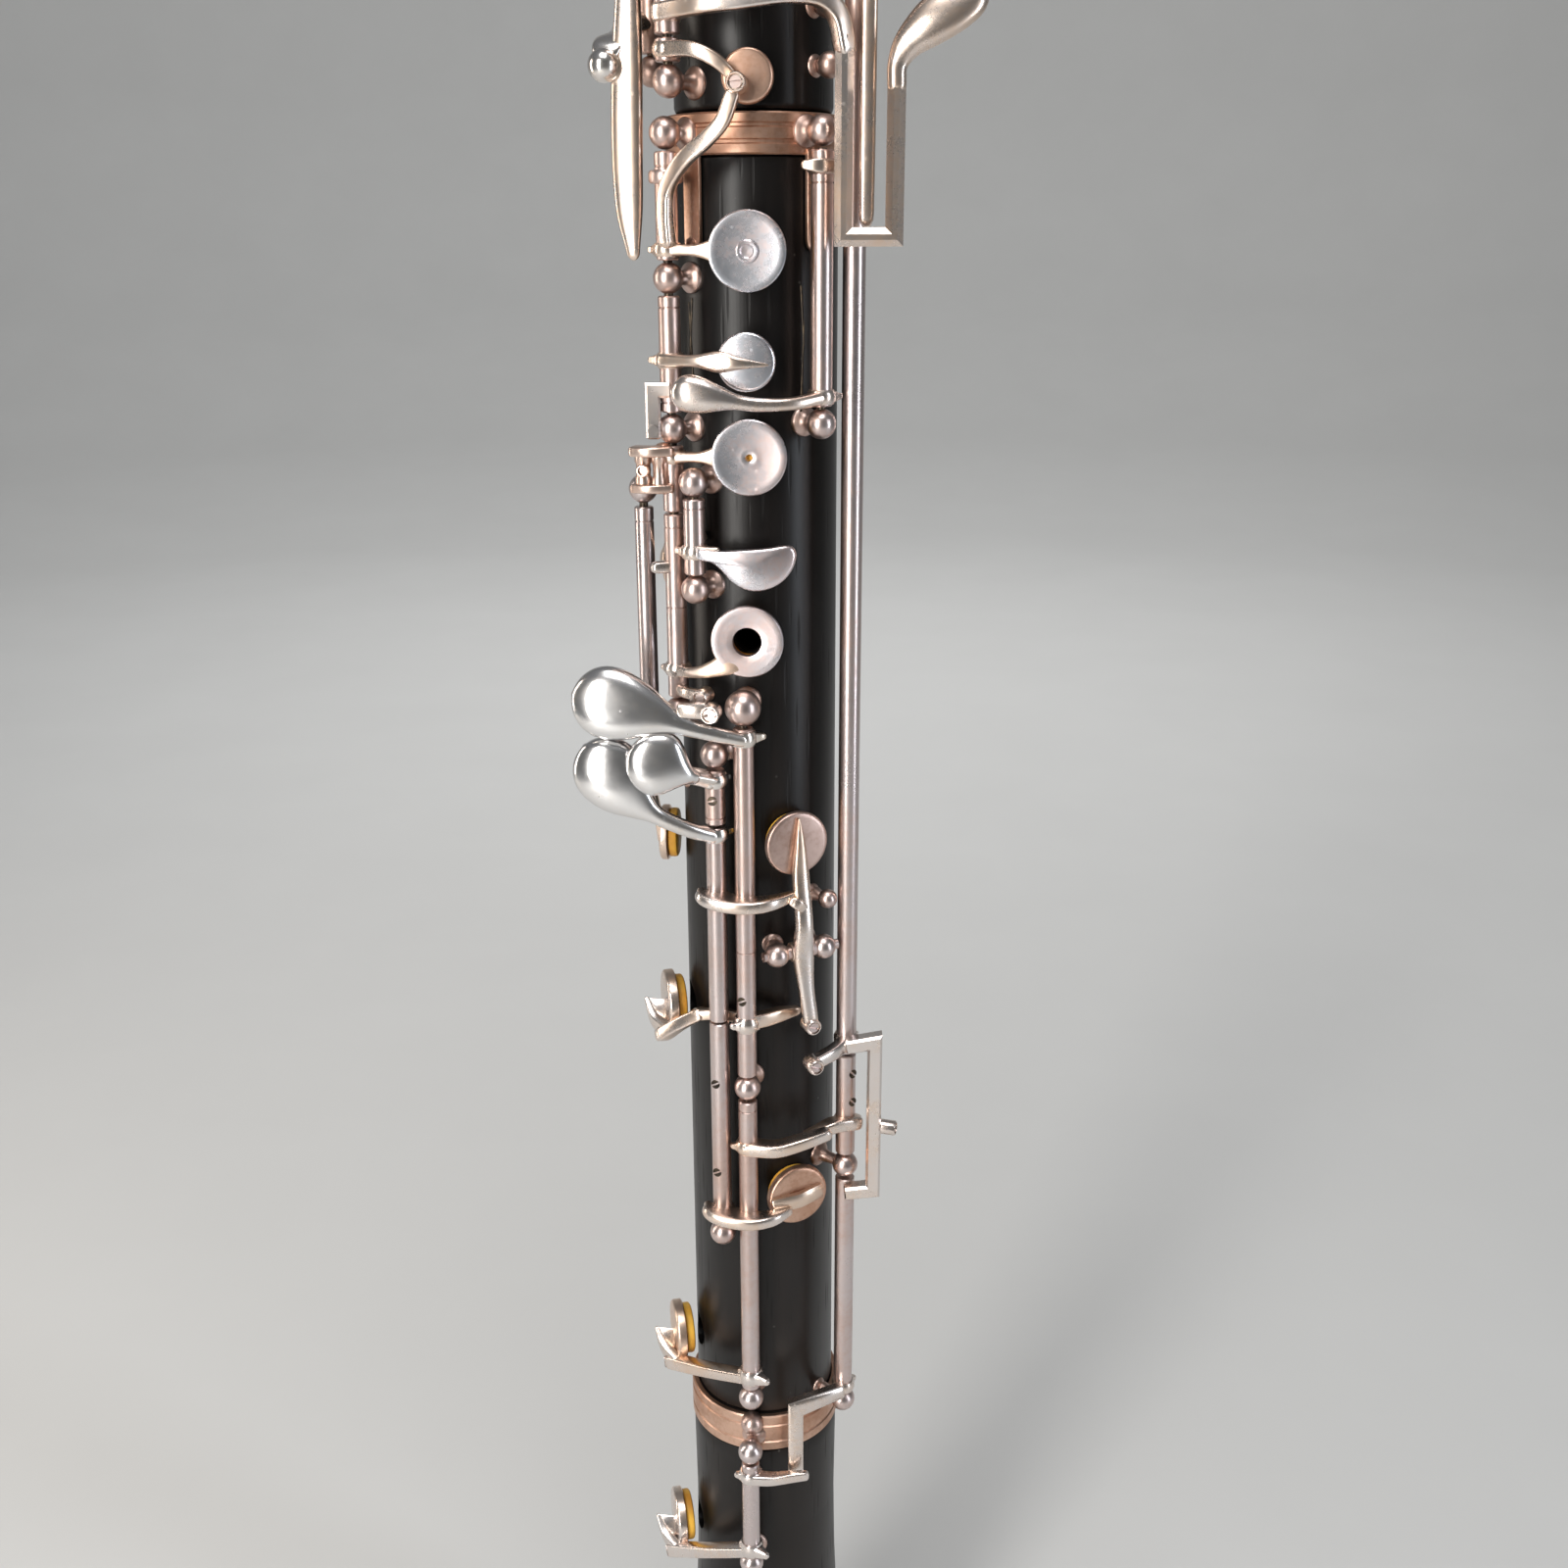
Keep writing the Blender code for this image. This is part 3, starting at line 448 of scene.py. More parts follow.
def pad_skin():
    finish = Finish("pad_skin")
    crease = finish.noise(500.0, 4.0, 0.6)
    discolouring = finish.noise(160.0, 3.0, 0.5)
    colour = finish.mix(discolouring.between(0.35, 0.7), (0.90, 0.50, 0.06), (0.62, 0.26, 0.03))
    finish.bump(crease, 0.3, 0.0001)
    return finish.look(Base_Color=colour, Roughness=crease * 0.25 + 0.38, Subsurface_Weight=0.08)


def cork():
    finish = Finish("cork")
    cells = finish.cells(900.0)
    flecks = finish.noise(420.0, 3.0, 0.6)
    base = finish.mix(cells.between(0.1, 0.6), (0.42, 0.24, 0.10), (0.66, 0.43, 0.20))
    colour = finish.mix(flecks.between(0.58, 0.7), base, (0.16, 0.08, 0.035))
    finish.bump(cells + flecks * 0.6, 0.5, 0.0002)
    return finish.look(Base_Color=colour, Roughness=flecks * 0.2 + 0.7)


def dark_steel():
    finish = Finish("blued_steel")
    cloud = finish.noise(700.0, 3.0, 0.6)
    colour = finish.mix(cloud.between(0.35, 0.7), (0.045, 0.038, 0.032), (0.11, 0.085, 0.06))
    finish.bump(cloud, 0.15, 0.00005)
    return finish.look(Base_Color=colour, Metallic=1.0, Roughness=cloud * 0.2 + 0.28)


GRENADILLA = grenadilla()
TOUCH_SILVER = plated("polished_silver", (0.80, 0.79, 0.79), (0.82, 0.70, 0.58), (0.68, 0.45, 0.33), 0.11, 0.62,
                      0.4)
# painted reflection: the plate silver's bluish base colour stands in for the cool light that the plates reflect
PLATE_SILVER = plated("plate_silver", (0.80, 0.83, 0.90), (0.82, 0.66, 0.63), (0.74, 0.40, 0.33), 0.16, 0.92,
                      0.05)
ARM_SILVER = plated("warm_silver", (0.76, 0.70, 0.67), (0.78, 0.61, 0.49), (0.56, 0.37, 0.27), 0.15, 0.90)
# painted dark reflection: the rod silver's base colours are darker than the rest of the silver, standing in for
# the dark surroundings that the rods reflect
ROD_SILVER = plated("rose_silver", (0.64, 0.56, 0.55), (0.60, 0.45, 0.40), (0.38, 0.25, 0.20), 0.20, 0.95)
RING_SILVER = plated("ring_silver", (0.76, 0.60, 0.52), (0.70, 0.47, 0.36), (0.48, 0.27, 0.18), 0.20, 1.05)
PAD_SKIN = pad_skin()
CORK = cork()
DARK_STEEL = dark_steel()


# --- small parts ----------------------------------------------------------------------------------
(ROD_A, ROD_B, ROD_C, ROD_D, ROD_F, ROD_TRILL, ROD_BELL, ROD_SIDE, ROD_UPPER, ROD_SHAKE, ROD_THUMB,
 ROD_OCTAVE) = (HINGES[key] for key in (
    "low_c_key", "e_flat_touch", "f_sharp_key", "low_b_flat_lever", "f_key", "trill_key",
    "bell_key", "side_vent_key", "g_key", "long_shake_key", "thumb_octave_key", "side_octave_key"))
LOWER_R = 13.8
OPEN_SEAT = LOWER_R + 1.4
SHUT_SEAT = LOWER_R + 0.35
screws = {}
pins = {}


def at(line, z):
    return np.array((line[0], line[1], z))


def over(line, z, lift=1.0):
    """A point beside a rod, this far from its axis on the side away from the wood."""
    return at(line, z) + outward(line) * lift


def screw_in(body, spot, way, radius):
    screws.setdefault(body, []).append((np.asarray(spot, float), unit(way), radius))


def pin_in(body, line, z, angle=0.0, radius=TUBE_R):
    """A pin driven through a tube; the angle turns it from the way out of the body."""
    out = outward(line)
    turn = math.radians(angle)
    way = out * math.cos(turn) + np.cross(UP, out) * math.sin(turn)
    pins.setdefault(body, []).append((at(line, z) + way * (radius - 0.12), way, 0.85))


def barrel(work, body, centre, way, length=3.4, radius=1.4):
    """The sleeve that holds an adjusting screw."""
    half = length / 2
    profile = [(0, -half), (radius - 0.2, -half), (radius, -half + 0.2), (radius, half - 0.2),
               (radius - 0.15, half), (radius - 0.3, half), (radius - 0.35, half - 0.7), (0, half - 0.7)]
    work.spin(profile, centre, way, 30)
    screw_in(body, np.asarray(centre) + unit(way) * (half - 0.75), way, radius - 0.6)


def post(work, line, z, wood_r, radius=BALL_R, foot=2.5):
    """A turned post: spreading foot, waisted neck and ball, standing out of the wood."""
    out = outward(line)
    reach = math.hypot(line[0], line[1])
    floor = min(wood_r, reach - radius - 0.6)
    profile = [(0, floor - 0.4), (foot, floor - 0.4), (foot, floor + 0.15), (foot - 0.2, floor + 0.45),
               (foot - 0.75, floor + 0.75), (1.3, floor + 1.2), (1.1, (floor + 1.2 + reach - radius) / 2)]
    profile += [(radius * math.cos(lift), reach + radius * math.sin(lift))
                for lift in np.radians(np.arange(-64, 91, 7))]
    work.spin(profile + [(0, reach + radius)], (0, 0, z), out, 36)


def collar(work, line, z, height=2.6, radius=2.45):
    """The ring of solder and metal where an arm wraps a tube."""
    half = height / 2
    work.spin([(0, -half), (TUBE_R - 0.2, -half), (radius - 0.25, -half + 0.15), (radius, -half + 0.5),
               (radius, half - 0.5), (radius - 0.25, half - 0.15), (TUBE_R - 0.2, half), (0, half)],
              at(line, z), UP, 36)


def saddle(work, line, z, toward, width=2.2, heel=2.5):
    """The end of an arm where it wraps its tube, with a blunt heel on the far side."""
    work.spin([(0, -width / 2), (TUBE_R + 0.25, -width / 2), (TUBE_R + 0.6, -width * 0.2),
               (TUBE_R + 0.6, width * 0.2), (TUBE_R + 0.25, width / 2), (0, width / 2)], at(line, z), UP, 36)
    way = unit((toward[0] - line[0], toward[1] - line[1], 0.0))
    out = outward(line) * 0.3
    work.arm([at(line, z) - way * heel + out, at(line, z) - way * 1.2 + out, at(line, z) + way * 1.8 + out],
             (width * 0.5, width * 0.9, width), (1.2, 2.6, 3.0), blunt=(0.7, 0.3))


def ring_of(work, radius, wall, low, high, grooves):
    """A band turned with eased corners and rounded grooves."""
    ease = min(0.28, wall * 0.3)
    outer = [(radius - wall, low), (radius - ease, low), (radius, low + ease)]
    for z in grooves:
        outer += [(radius, z - 0.42), (radius - 0.28, z - 0.2), (radius - 0.28, z + 0.2), (radius, z + 0.42)]
    work.spin([*outer, (radius, high - ease), (radius - ease, high), (radius - wall, high)], (0, 0, 0), UP, 128,
              loop=True)


def spring(work, low, high, thick=0.42):
    """A needle spring, drawn to a point at its free end."""
    work.arm([low, (np.asarray(low) * 2 + high) / 3, high], (thick, thick, thick * 0.55),
             (thick, thick, thick * 0.55), sides=10, square=2.0, fine=3)


def skin_pad(node, body, angle, hole=0.0):
    """A skinned pad in the place of the frame's one: rounded rim, faint pillow face towards the wood."""
    low, high = box(node)
    radius = (high[2] - low[2]) / 2
    half = PAD_THICK / 2
    work = Work(PAD_SKIN)
    rim = [(radius - 0.45, -half), (radius - 0.12, -half + 0.18), (radius, -half + 0.5), (radius, half - 0.2),
           (radius - 0.2, half)]
    spot = PAD_SPOTS[node]
    centre = around(angle, spot[0] + half, spot[1])
    if hole:
        work.spin([(hole, -half), *rim, (hole, half)], centre, around(angle, 1, 0), 48, loop=True)
    else:
        work.spin([(0, -half - 0.02), *rim, (0, half)], centre, around(angle, 1, 0), 48)
    work.piece("skin_" + node, body, "pad_skin", (node,))


PAD_SPOTS = {"f_sharp_pad": (OPEN_SEAT, 349.4), "e_pad": (OPEN_SEAT, 317.6), "d_pad": (OPEN_SEAT, 287.0),
             "low_c_pad": (OPEN_SEAT, 213.4), "low_b_pad": (OPEN_SEAT + 0.2, 138.0),
             "e_flat_pad": (SHUT_SEAT, 249.7), "c_sharp_pad": (SHUT_SEAT, 177.6), "bell_pad": (16.5, 89.7),
             "side_vent_pad": (OPEN_SEAT, 245.9)}


def plate(work, angle, z, seat, radius=6.15, thick=1.35, hole=0.0, dish=0.3):
    """A finger plate over its pad: eased rim and a slightly hollow top."""
    base = around(angle, seat + PAD_THICK + 0.06, z)
    rim = [(radius - 0.35, 0), (radius - 0.05, 0.2), (radius, 0.45), (radius - 0.03, thick - 0.25),
           (radius - 0.22, thick - 0.04), (radius - 0.55, thick)]
    top = [(share * radius, thick - dish * (1 - (share / 0.92) ** 2)) for share in (0.8, 0.6, 0.42, 0.24)]
    out = around(angle, 1, 0)
    if hole:
        lip = [(hole + 0.45, thick - dish * 0.8), (hole + 0.1, thick - dish - 0.05), (hole, thick - dish - 0.3)]
        keep = [spot for spot in top if spot[0] > hole + 0.7]
        return work.spin([(hole, 0), *rim, *keep, *lip], base, out, 72, loop=True)
    return work.spin([(0, 0), *rim, *top, (0, thick - dish)], base, out, 72)


def cup(work, angle, z, base_r, radius=5.9, thick=1.9, crown=0.35):
    """A pad cup: rounded shoulders and a low crown."""
    shoulder = 0.55
    rim = [(radius - 0.25, 0), (radius, 0.2), (radius, thick - shoulder)]
    rim += [(radius - shoulder + shoulder * math.cos(a), thick - shoulder + shoulder * math.sin(a))
            for a in np.radians((25, 50, 75))]
    top = [(share * radius, thick + crown * (1 - (share / 0.9) ** 2)) for share in (0.85, 0.65, 0.4, 0.2)]
    work.spin([(0, 0), *rim, *top, (0, thick + crown)], around(angle, base_r, z), around(angle, 1, 0), 64)


# --- wood -----------------------------------------------------------------------------------------
def fine_profile(corners, ease=0.35):
    """The same outline with every outer corner turned to a small curve."""
    made = []
    corners = [np.asarray(corner, float) for corner in corners]
    for before, here, after in zip(corners, corners[1:], corners[2:]):
        back, on = before - here, after - here
        room = min(ease, np.linalg.norm(back) * 0.4, np.linalg.norm(on) * 0.4)
        first, last = here + unit(back) * room, here + unit(on) * room
        made += [first, (first + last) / 4 + here / 2, last]
    return [tuple(corners[0]), *map(tuple, made), tuple(corners[-1])]


def curve_through(corners, fine=6):
    return [tuple(spot) for spot in smooth(np.asarray(corners, float), fine)]


def drill(holes, angle, z, radius, inside, outside):
    holes.spin([(0, 0), (radius, 0), (radius, outside - inside), (0, outside - inside)],
               around(angle, inside, z), around(angle, 1, 0), 40)


def bell():
    work, holes = Work(GRENADILLA), Work(GRENADILLA)
    flare = curve_through([(22.6, 6), (21.6, 14), (19.0, 29), (16.6, 50), (15.2, 74), (14.75, 95)])
    bore = curve_through([(8.4, 106.5), (9.6, 80), (12.2, 48), (15.4, 20), (18.6, 0.3)])
    profile = fine_profile([(18.6, 0.3), (19.0, 0), (22.6, 0), *flare, (14.95, 113.2), (14.95, 116.3),
                            (13.9, 116.3), (13.9, 125), (11.6, 125), (11.6, 106.5)], 0.3)
    work.spin([*profile, *bore[:-1]], (0, 0, 0), UP, 128, loop=True)
    drill(holes, SIDE_ANGLE, 89.7, 3.4, 8.0, 17.0)
    work.piece("turned_bell", "oboe_body", "grenadilla", ("bell",), holes)
    rim = Work(RING_SILVER)
    rim.spin([(22.9, 0.2), (24.0, 0.2), (24.45, 0.5), (24.6, 1.2), (24.6, 3.0), (24.4, 3.2), (24.4, 3.6),
              (24.6, 3.8), (24.6, 5.2), (24.35, 6.2), (23.8, 6.5), (22.9, 6.5)], (0, 0, 0), UP, 128, loop=True)
    rim.piece("turned_bell_rim", "oboe_body", "rose_silver", ("bell_rim_ring",))


def lower_joint():
    work, holes = Work(GRENADILLA), Work(GRENADILLA)
    outer = fine_profile([(12.6, 369.8), (12.6, 363.3), (13.75, 363.3), (14.0, 125.4), (10.3, 125.4),
                          (10.3, 107.0), (7.9, 107.0)], 0.3)
    work.spin([*outer, (4.8, 349.2), (8.7, 349.2), (8.7, 369.8)], (0, 0, 0), UP, 144, loop=True)
    for angle, z, radius in ((PLATE_ANGLE, 349.4, 2.6), (VENT_ANGLE, 332.6, 1.6), (PLATE_ANGLE, 317.6, 2.8),
                             (RING_ANGLE, 287.0, 2.6), (-98, 297, 2.4), (-93, 245.9, 2.6),
                             (LEVER_ANGLE, 249.7, 3.4), (SIDE_ANGLE, 213.4, 3.6), (LEVER_ANGLE, 177.6, 3.4),
                             (SIDE_ANGLE, 138.0, 3.8)):
        drill(holes, angle, z, radius, 4.0, 16.0)
    work.piece("turned_lower_joint", "oboe_body", "grenadilla", ("lower_joint",), holes)


def upper_joint():
    work, holes = Work(GRENADILLA), Work(GRENADILLA)
    bulb = curve_through([(9.4, 574), (10.6, 578.6), (12.1, 583), (12.45, 587), (11.6, 592)], 6)
    outer = fine_profile([(3.5, 596.8), (8.9, 596.8), (9.3, 595.6), (10.9, 593.6), (11.2, 592.8)], 0.25)[1:-1]
    waist = fine_profile([bulb[0], (9.2, 569), (10.2, 567.4), (11.2, 566), (11.2, 562), (10.4, 560.6),
                          (10.45, 558)], 0.4)[1:-1]
    stem = fine_profile([(12.0, 480), (12.9, 371.0), (12.6, 370.2), (7.6, 370.2), (7.6, 350.4), (4.7, 350.4)],
                        0.25)
    work.spin([(3.5, 596.8), *outer, *reversed(bulb), *waist, (10.5, 556), *stem, (2.2, 572), (3.5, 572)],
              (0, 0, 0), UP, 144, loop=True)
    for angle, z, radius in ((-2.5, 374.6, 1.8), (-4, 430, 2.0), (-4, 462, 1.8), (-4, 500, 1.4),
                             (-70, 391, 2.2), (-140, 425, 1.6), (-140, 396, 1.6), (125, 489, 1.0),
                             (62, 530, 1.0)):
        drill(holes, angle, z, radius, 3.2 if z < 450 else 2.0, 15.0)
    work.piece("turned_upper_joint", "oboe_body", "grenadilla", ("upper_joint",), holes)
    ring = Work(RING_SILVER)
    ring.spin([(3.6, 597.1), (8.9, 597.1), (9.2, 597.4), (9.2, 599.5), (8.9, 599.9), (8.6, 600), (4.0, 600),
               (3.6, 599.6)], (0, 0, 0), UP, 96, loop=True)
    ring.piece("turned_reed_ring", "oboe_body", "rose_silver", ("reed_socket_ring",))
    for name, node, inner, radius, low, high in (("bell_tenon_wrap", "bell_tenon_cork", 10.6, 11.3, 109, 121),
                                                 ("middle_tenon_wrap", "middle_tenon_cork", 7.9, 8.4, 353,
                                                  367)):
        wrap = Work(CORK)
        wrap.spin([(inner, low), (radius - 0.2, low), (radius, low + 0.3), (radius, high - 0.3),
                   (radius - 0.2, high), (inner, high)], (0, 0, 0), UP, 96, loop=True)
        wrap.piece(name, "oboe_body", "cork", (node,))


# --- rings and posts ------------------------------------------------------------------------------
def rings():
    work = Work(RING_SILVER)
    ring_of(work, 15.3, 1.1, 116.6, 125.0, (119.0, 122.9))
    work.finish = ROD_SILVER
    post(work, ROD_BELL, 120.5, 15.0)
    work.ball((-2.4, -15.6, 123.9), 2.3)
    work.piece("turned_bell_ring", "oboe_body", "rose_silver", ("bell_ring",))

    work = Work(RING_SILVER)
    ring_of(work, 14.4, 1.5, 363.6, 369.8, (365.5, 367.9))
    for side in (-1, 1):
        outline = [(-1.7, 8.0), (-1.7, -5.4)]
        outline += [(1.7 * math.cos(a), -5.4 + 1.9 * math.sin(a)) for a in np.radians(range(200, 350, 20))]
        outline += [(1.7, -5.4), (1.7, 8.0)]
        strap = around(42.0 * side, 14.45, 356.4)
        work.slab(outline, strap, np.cross(UP, outward(strap)), UP, 0.7, 0.05, 0.15, 0.03)
        screw_in("oboe_body", around(42.0 * side, 14.8, 350.6), outward(strap), 0.8)
    work.finish = ROD_SILVER
    post(work, ROD_C, 366.8, 14.3)
    post(work, ROD_TRILL, 367.0, 14.3, 2.35)
    work.piece("turned_socket_ring", "oboe_body", "rose_silver", ("socket_ring",))


def posts():
    rows = (("rod_a_posts", ROD_A, LOWER_R, (275.7, 202.8, 132.9), 132.9, 275.7),
            ("rod_c_posts", ROD_C, LOWER_R, (345.3, 321.7, 273.5), 273.5, 364.2),
            ("f_key_posts", ROD_F, LOWER_R, (313.4, 295.6), 295.6, 313.4),
            ("trill_post", ROD_TRILL, LOWER_R, (322.7,), 322.7, 364.4),
            ("bell_key_post", ROD_BELL, 14.8, (92.4,), 92.4, 118.0),
            ("side_vent_posts", ROD_SIDE, LOWER_R, (311.0, 259.0), 259.0, 311.0),
            ("upper_rod_posts", ROD_UPPER, 12.7, (374.1, 402.0, 445.0, 490.0, 520.0), 374.1, 520.0),
            ("shake_key_posts", ROD_SHAKE, 12.7, (377.0, 403.0, 447.0), 377.0, 447.0),
            ("thumb_octave_posts", ROD_THUMB, 11.8, (476.0, 502.0), 476.0, 502.0),
            ("side_octave_posts", ROD_OCTAVE, 11.9, (455.0, 541.0), 455.0, 541.0),
            ("rod_b_top_post", ROD_B, LOWER_R, (267.0,), 0, 0),
            ("rod_b_foot_post", ROD_B, LOWER_R, (170.6,), 0, 0),
            ("rod_d_middle_post", ROD_D, LOWER_R, (182.2,), 0, 0),
            ("rod_d_top_post", ROD_D, 12.4, (428.0,), 0, 0), ("rod_d_foot_post", ROD_D, 13.9, (127.1,), 0, 0),
            ("rod_d_guide_post", (12.3, -13.2), LOWER_R, (238.2,), 0, 0))
    for node, line, wood_r, heights, low, high in rows:
        work = Work(ROD_SILVER)
        for z in heights:
            radius = {"rod_a_posts": 3.1 if z > 270 else BALL_R, "rod_d_guide_post": 1.75}.get(node, BALL_R)
            post(work, line, z, wood_r, radius, 1.7 if node in ("rod_d_foot_post", "rod_d_guide_post") else 2.5)
        if high:
            work.finish = DARK_STEEL
            work.spin([(0, low), (0.75, low), (0.75, high), (0, high)], at(line, 0), UP, 24)
        if node in ("rod_c_posts", "trill_post"):
            side = 1 if node == "trill_post" else -1
            for z in (342.0, 327.5) if side < 0 else (344.0, 324.6):
                foot = at(line, z) - outward(line) * 2.2 - np.array((side * 2.0, 0, 0))
                spring(work, foot, foot + np.array((side * 0.5, -0.3, 14.0 if z < 330 else -9.0)))
        work.piece("turned_" + node, "oboe_body", "silver", (node,))


def lever_posts():
    """Small posts on the upper joint whose levers run up out of sight."""
    work = Work(ROD_SILVER)
    for angle, z, reach, radius in ((-2.0, 386.0, 15.4, 2.1), (48.0, 385.0, 15.6, 2.0),
                                    (50.0, 376.6, 15.6, 2.0)):
        post(work, around(angle, reach, 0), z, 12.6, radius, 1.8)
    work.piece("turned_lever_posts", "oboe_body", "silver")


def seesaw_place():
    centre = HINGES["e_flat_cup_lever"]
    out = outward(centre)
    return centre, np.array((-out[1], out[0], 0.0)), out


def seesaw_posts():
    centre, along, out = seesaw_place()
    work = Work(DARK_STEEL)
    work.spin([(0, -4.6), (0.75, -4.6), (0.75, 4.6), (0, 4.6)], centre, along, 24)
    work.finish = ROD_SILVER
    for side in (-1, 1):
        spot = centre + along * 4.6 * side
        post(work, spot, spot[2], LOWER_R, 2.25, 2.0)
        work.spin([(0, 0), (1.3, 0), (1.3, 0.7), (1.1, 0.9), (0, 0.9)], spot - along * side * 2.5, along * side,
                  28)
        screw_in("oboe_body", spot + along * side * 2.15, along * side, 0.9)
    work.piece("turned_seesaw_posts", "oboe_body", "silver", ("seesaw_posts",))


def thumb_rest():
    work = Work(ROD_SILVER)
    outline = [(5.3 * math.copysign(abs(math.cos(a)) ** 0.5, math.cos(a)),
                12.9 * math.copysign(abs(math.sin(a)) ** 0.6,
                                     math.sin(a))) for a in np.radians(range(0, 360, 10))]
    base = around(180, 14.9, 303)
    work.slab(outline, base, (1, 0, 0), UP, 1.3, 0.15, 0.3, 0.03)
    work.finish = TOUCH_SILVER
    work.arm([around(180, 14.9, 300.8), around(180, 18.5, 300.9), around(180, 23.5, 301.0),
              around(180, 27.0, 301.3)], (12.0, 11.2, 11.6, 12.0), (2.8, 2.2, 2.2, 2.6), facing=UP, square=4,
             blunt=(0.2, 0.5))
    work.finish = ROD_SILVER
    work.arm([around(180, 15.2, 312), around(180, 17.5, 306.5), around(180, 23.5, 302.2)], (3.2, 2.4, 1.8),
             (2.6, 2.4, 1.6), facing=(1, 0, 0), square=3)
    for z in (294, 312.6):
        for side in (-1, 1):
            screw_in("oboe_body", around(180 + side * 12, 15.35, z), around(180 + side * 12, 1, 0), 1.15)
    work.piece("turned_thumb_rest", "oboe_body", "silver", ("thumb_rest",))


# --- keys of the lower joint ----------------------------------------------------------------------
def plate_arm(work, line, z_rod, angle, z, radius, top_r, width=2.1):
    """An arm that leaves the tube with a heel and spreads like a fish's tail into the plate's rim."""
    end = around(angle, top_r, z)
    start = at(line, z_rod)
    saddle(work, line, z_rod, end, width)
    way = unit(end - start)
    edge = end - way * (radius - 1.2)
    first, second = start + outward(line) * 1.0 + way * 0.6, start * 0.42 + edge * 0.58 + outward(edge) * 0.75
    work.arm([first, second, edge + outward(edge) * 0.05, edge + way * 1.6 - outward(edge) * 0.45],
             (width, width * 0.85, width * 2.1, width * 3.0), (2.4, 1.5, 1.0, 0.25), square=3.2, fine=10)


def f_sharp_keys():
    line, seat = ROD_C, OPEN_SEAT
    top = seat + PAD_THICK + 0.75
    work = Work(ROD_SILVER)
    work.tube(line, 348.0, 364.1, rings=(361.9,))
    collar(work, line, 360.4, 2.2, 2.7)
    work.finish = PLATE_SILVER
    plate(work, PLATE_ANGLE, 349.4, seat)
    work.spin([(0, 0), (1.75, 0), (1.75, 0.5), (1.5, 0.75), (1.1, 0.72), (0.9, 0.45), (0, 0.4)],
              around(PLATE_ANGLE, seat + 2.6, 349.4), around(PLATE_ANGLE, 1, 0), 40)
    work.finish = ARM_SILVER
    plate_arm(work, line, 349.6, PLATE_ANGLE, 349.4, 6.15, top)
    work.arm([(-13.5, -14.4, 350.8), (-13.8, -14.7, 355.0), (-13.3, -15.3, 358.8), (-10.6, -17.6, 362.6),
              (-7.0, -19.4, 365.4), (-4.4, -20.3, 368.0), (-2.9, -20.3, 371.6)],
             (2.5, 2.6, 2.6, 2.5, 2.4, 2.3, 2.2), (2.2, 2.0, 1.8, 1.7, 1.6, 1.6, 1.7))
    barrel(work, "f_sharp_key", (-2.2, -19.5, 373.3), (-0.1, -1, 0), 4.0, 1.5)
    work.key("f_sharp_key")
    skin_pad("f_sharp_pad", "f_sharp_key", PLATE_ANGLE)

    work = Work(ROD_SILVER)
    work.tube(line, 324.4, 342.6, rings=(340.8, 326.0))
    work.finish = PLATE_SILVER
    cup(work, VENT_ANGLE, 332.6, seat + PAD_THICK + 0.1, 4.7, 1.2, 0.25)
    work.finish = ARM_SILVER
    saddle(work, line, 332.6, around(0, 18, 332.6), 2.4, 2.9)
    work.arm([over(line, 332.6, 1.4), around(-30, 19.3, 332.8), around(-17, 18.9, 332.7),
              around(-8, 18.8, 332.5), around(8, 18.3, 332.2)], (2.3, 1.9, 3.4, 2.0, 0.3),
             (2.4, 1.9, 1.6, 1.6, 0.4), square=2.8)
    work.mitred([(-13.6, -13.6, 328.0), (-16.6, -13.3, 328.0), (-16.6, -13.3, 320.2)], 2.4, 2.2)
    work.spin([(0, -1.6), (0.9, -1.6), (0.9, 1.6), (0, 1.6)], (-16.6, -13.3, 321.6), (0, -1, 0), 24)
    work.key("f_sharp_vent_key", "f_sharp_vent")


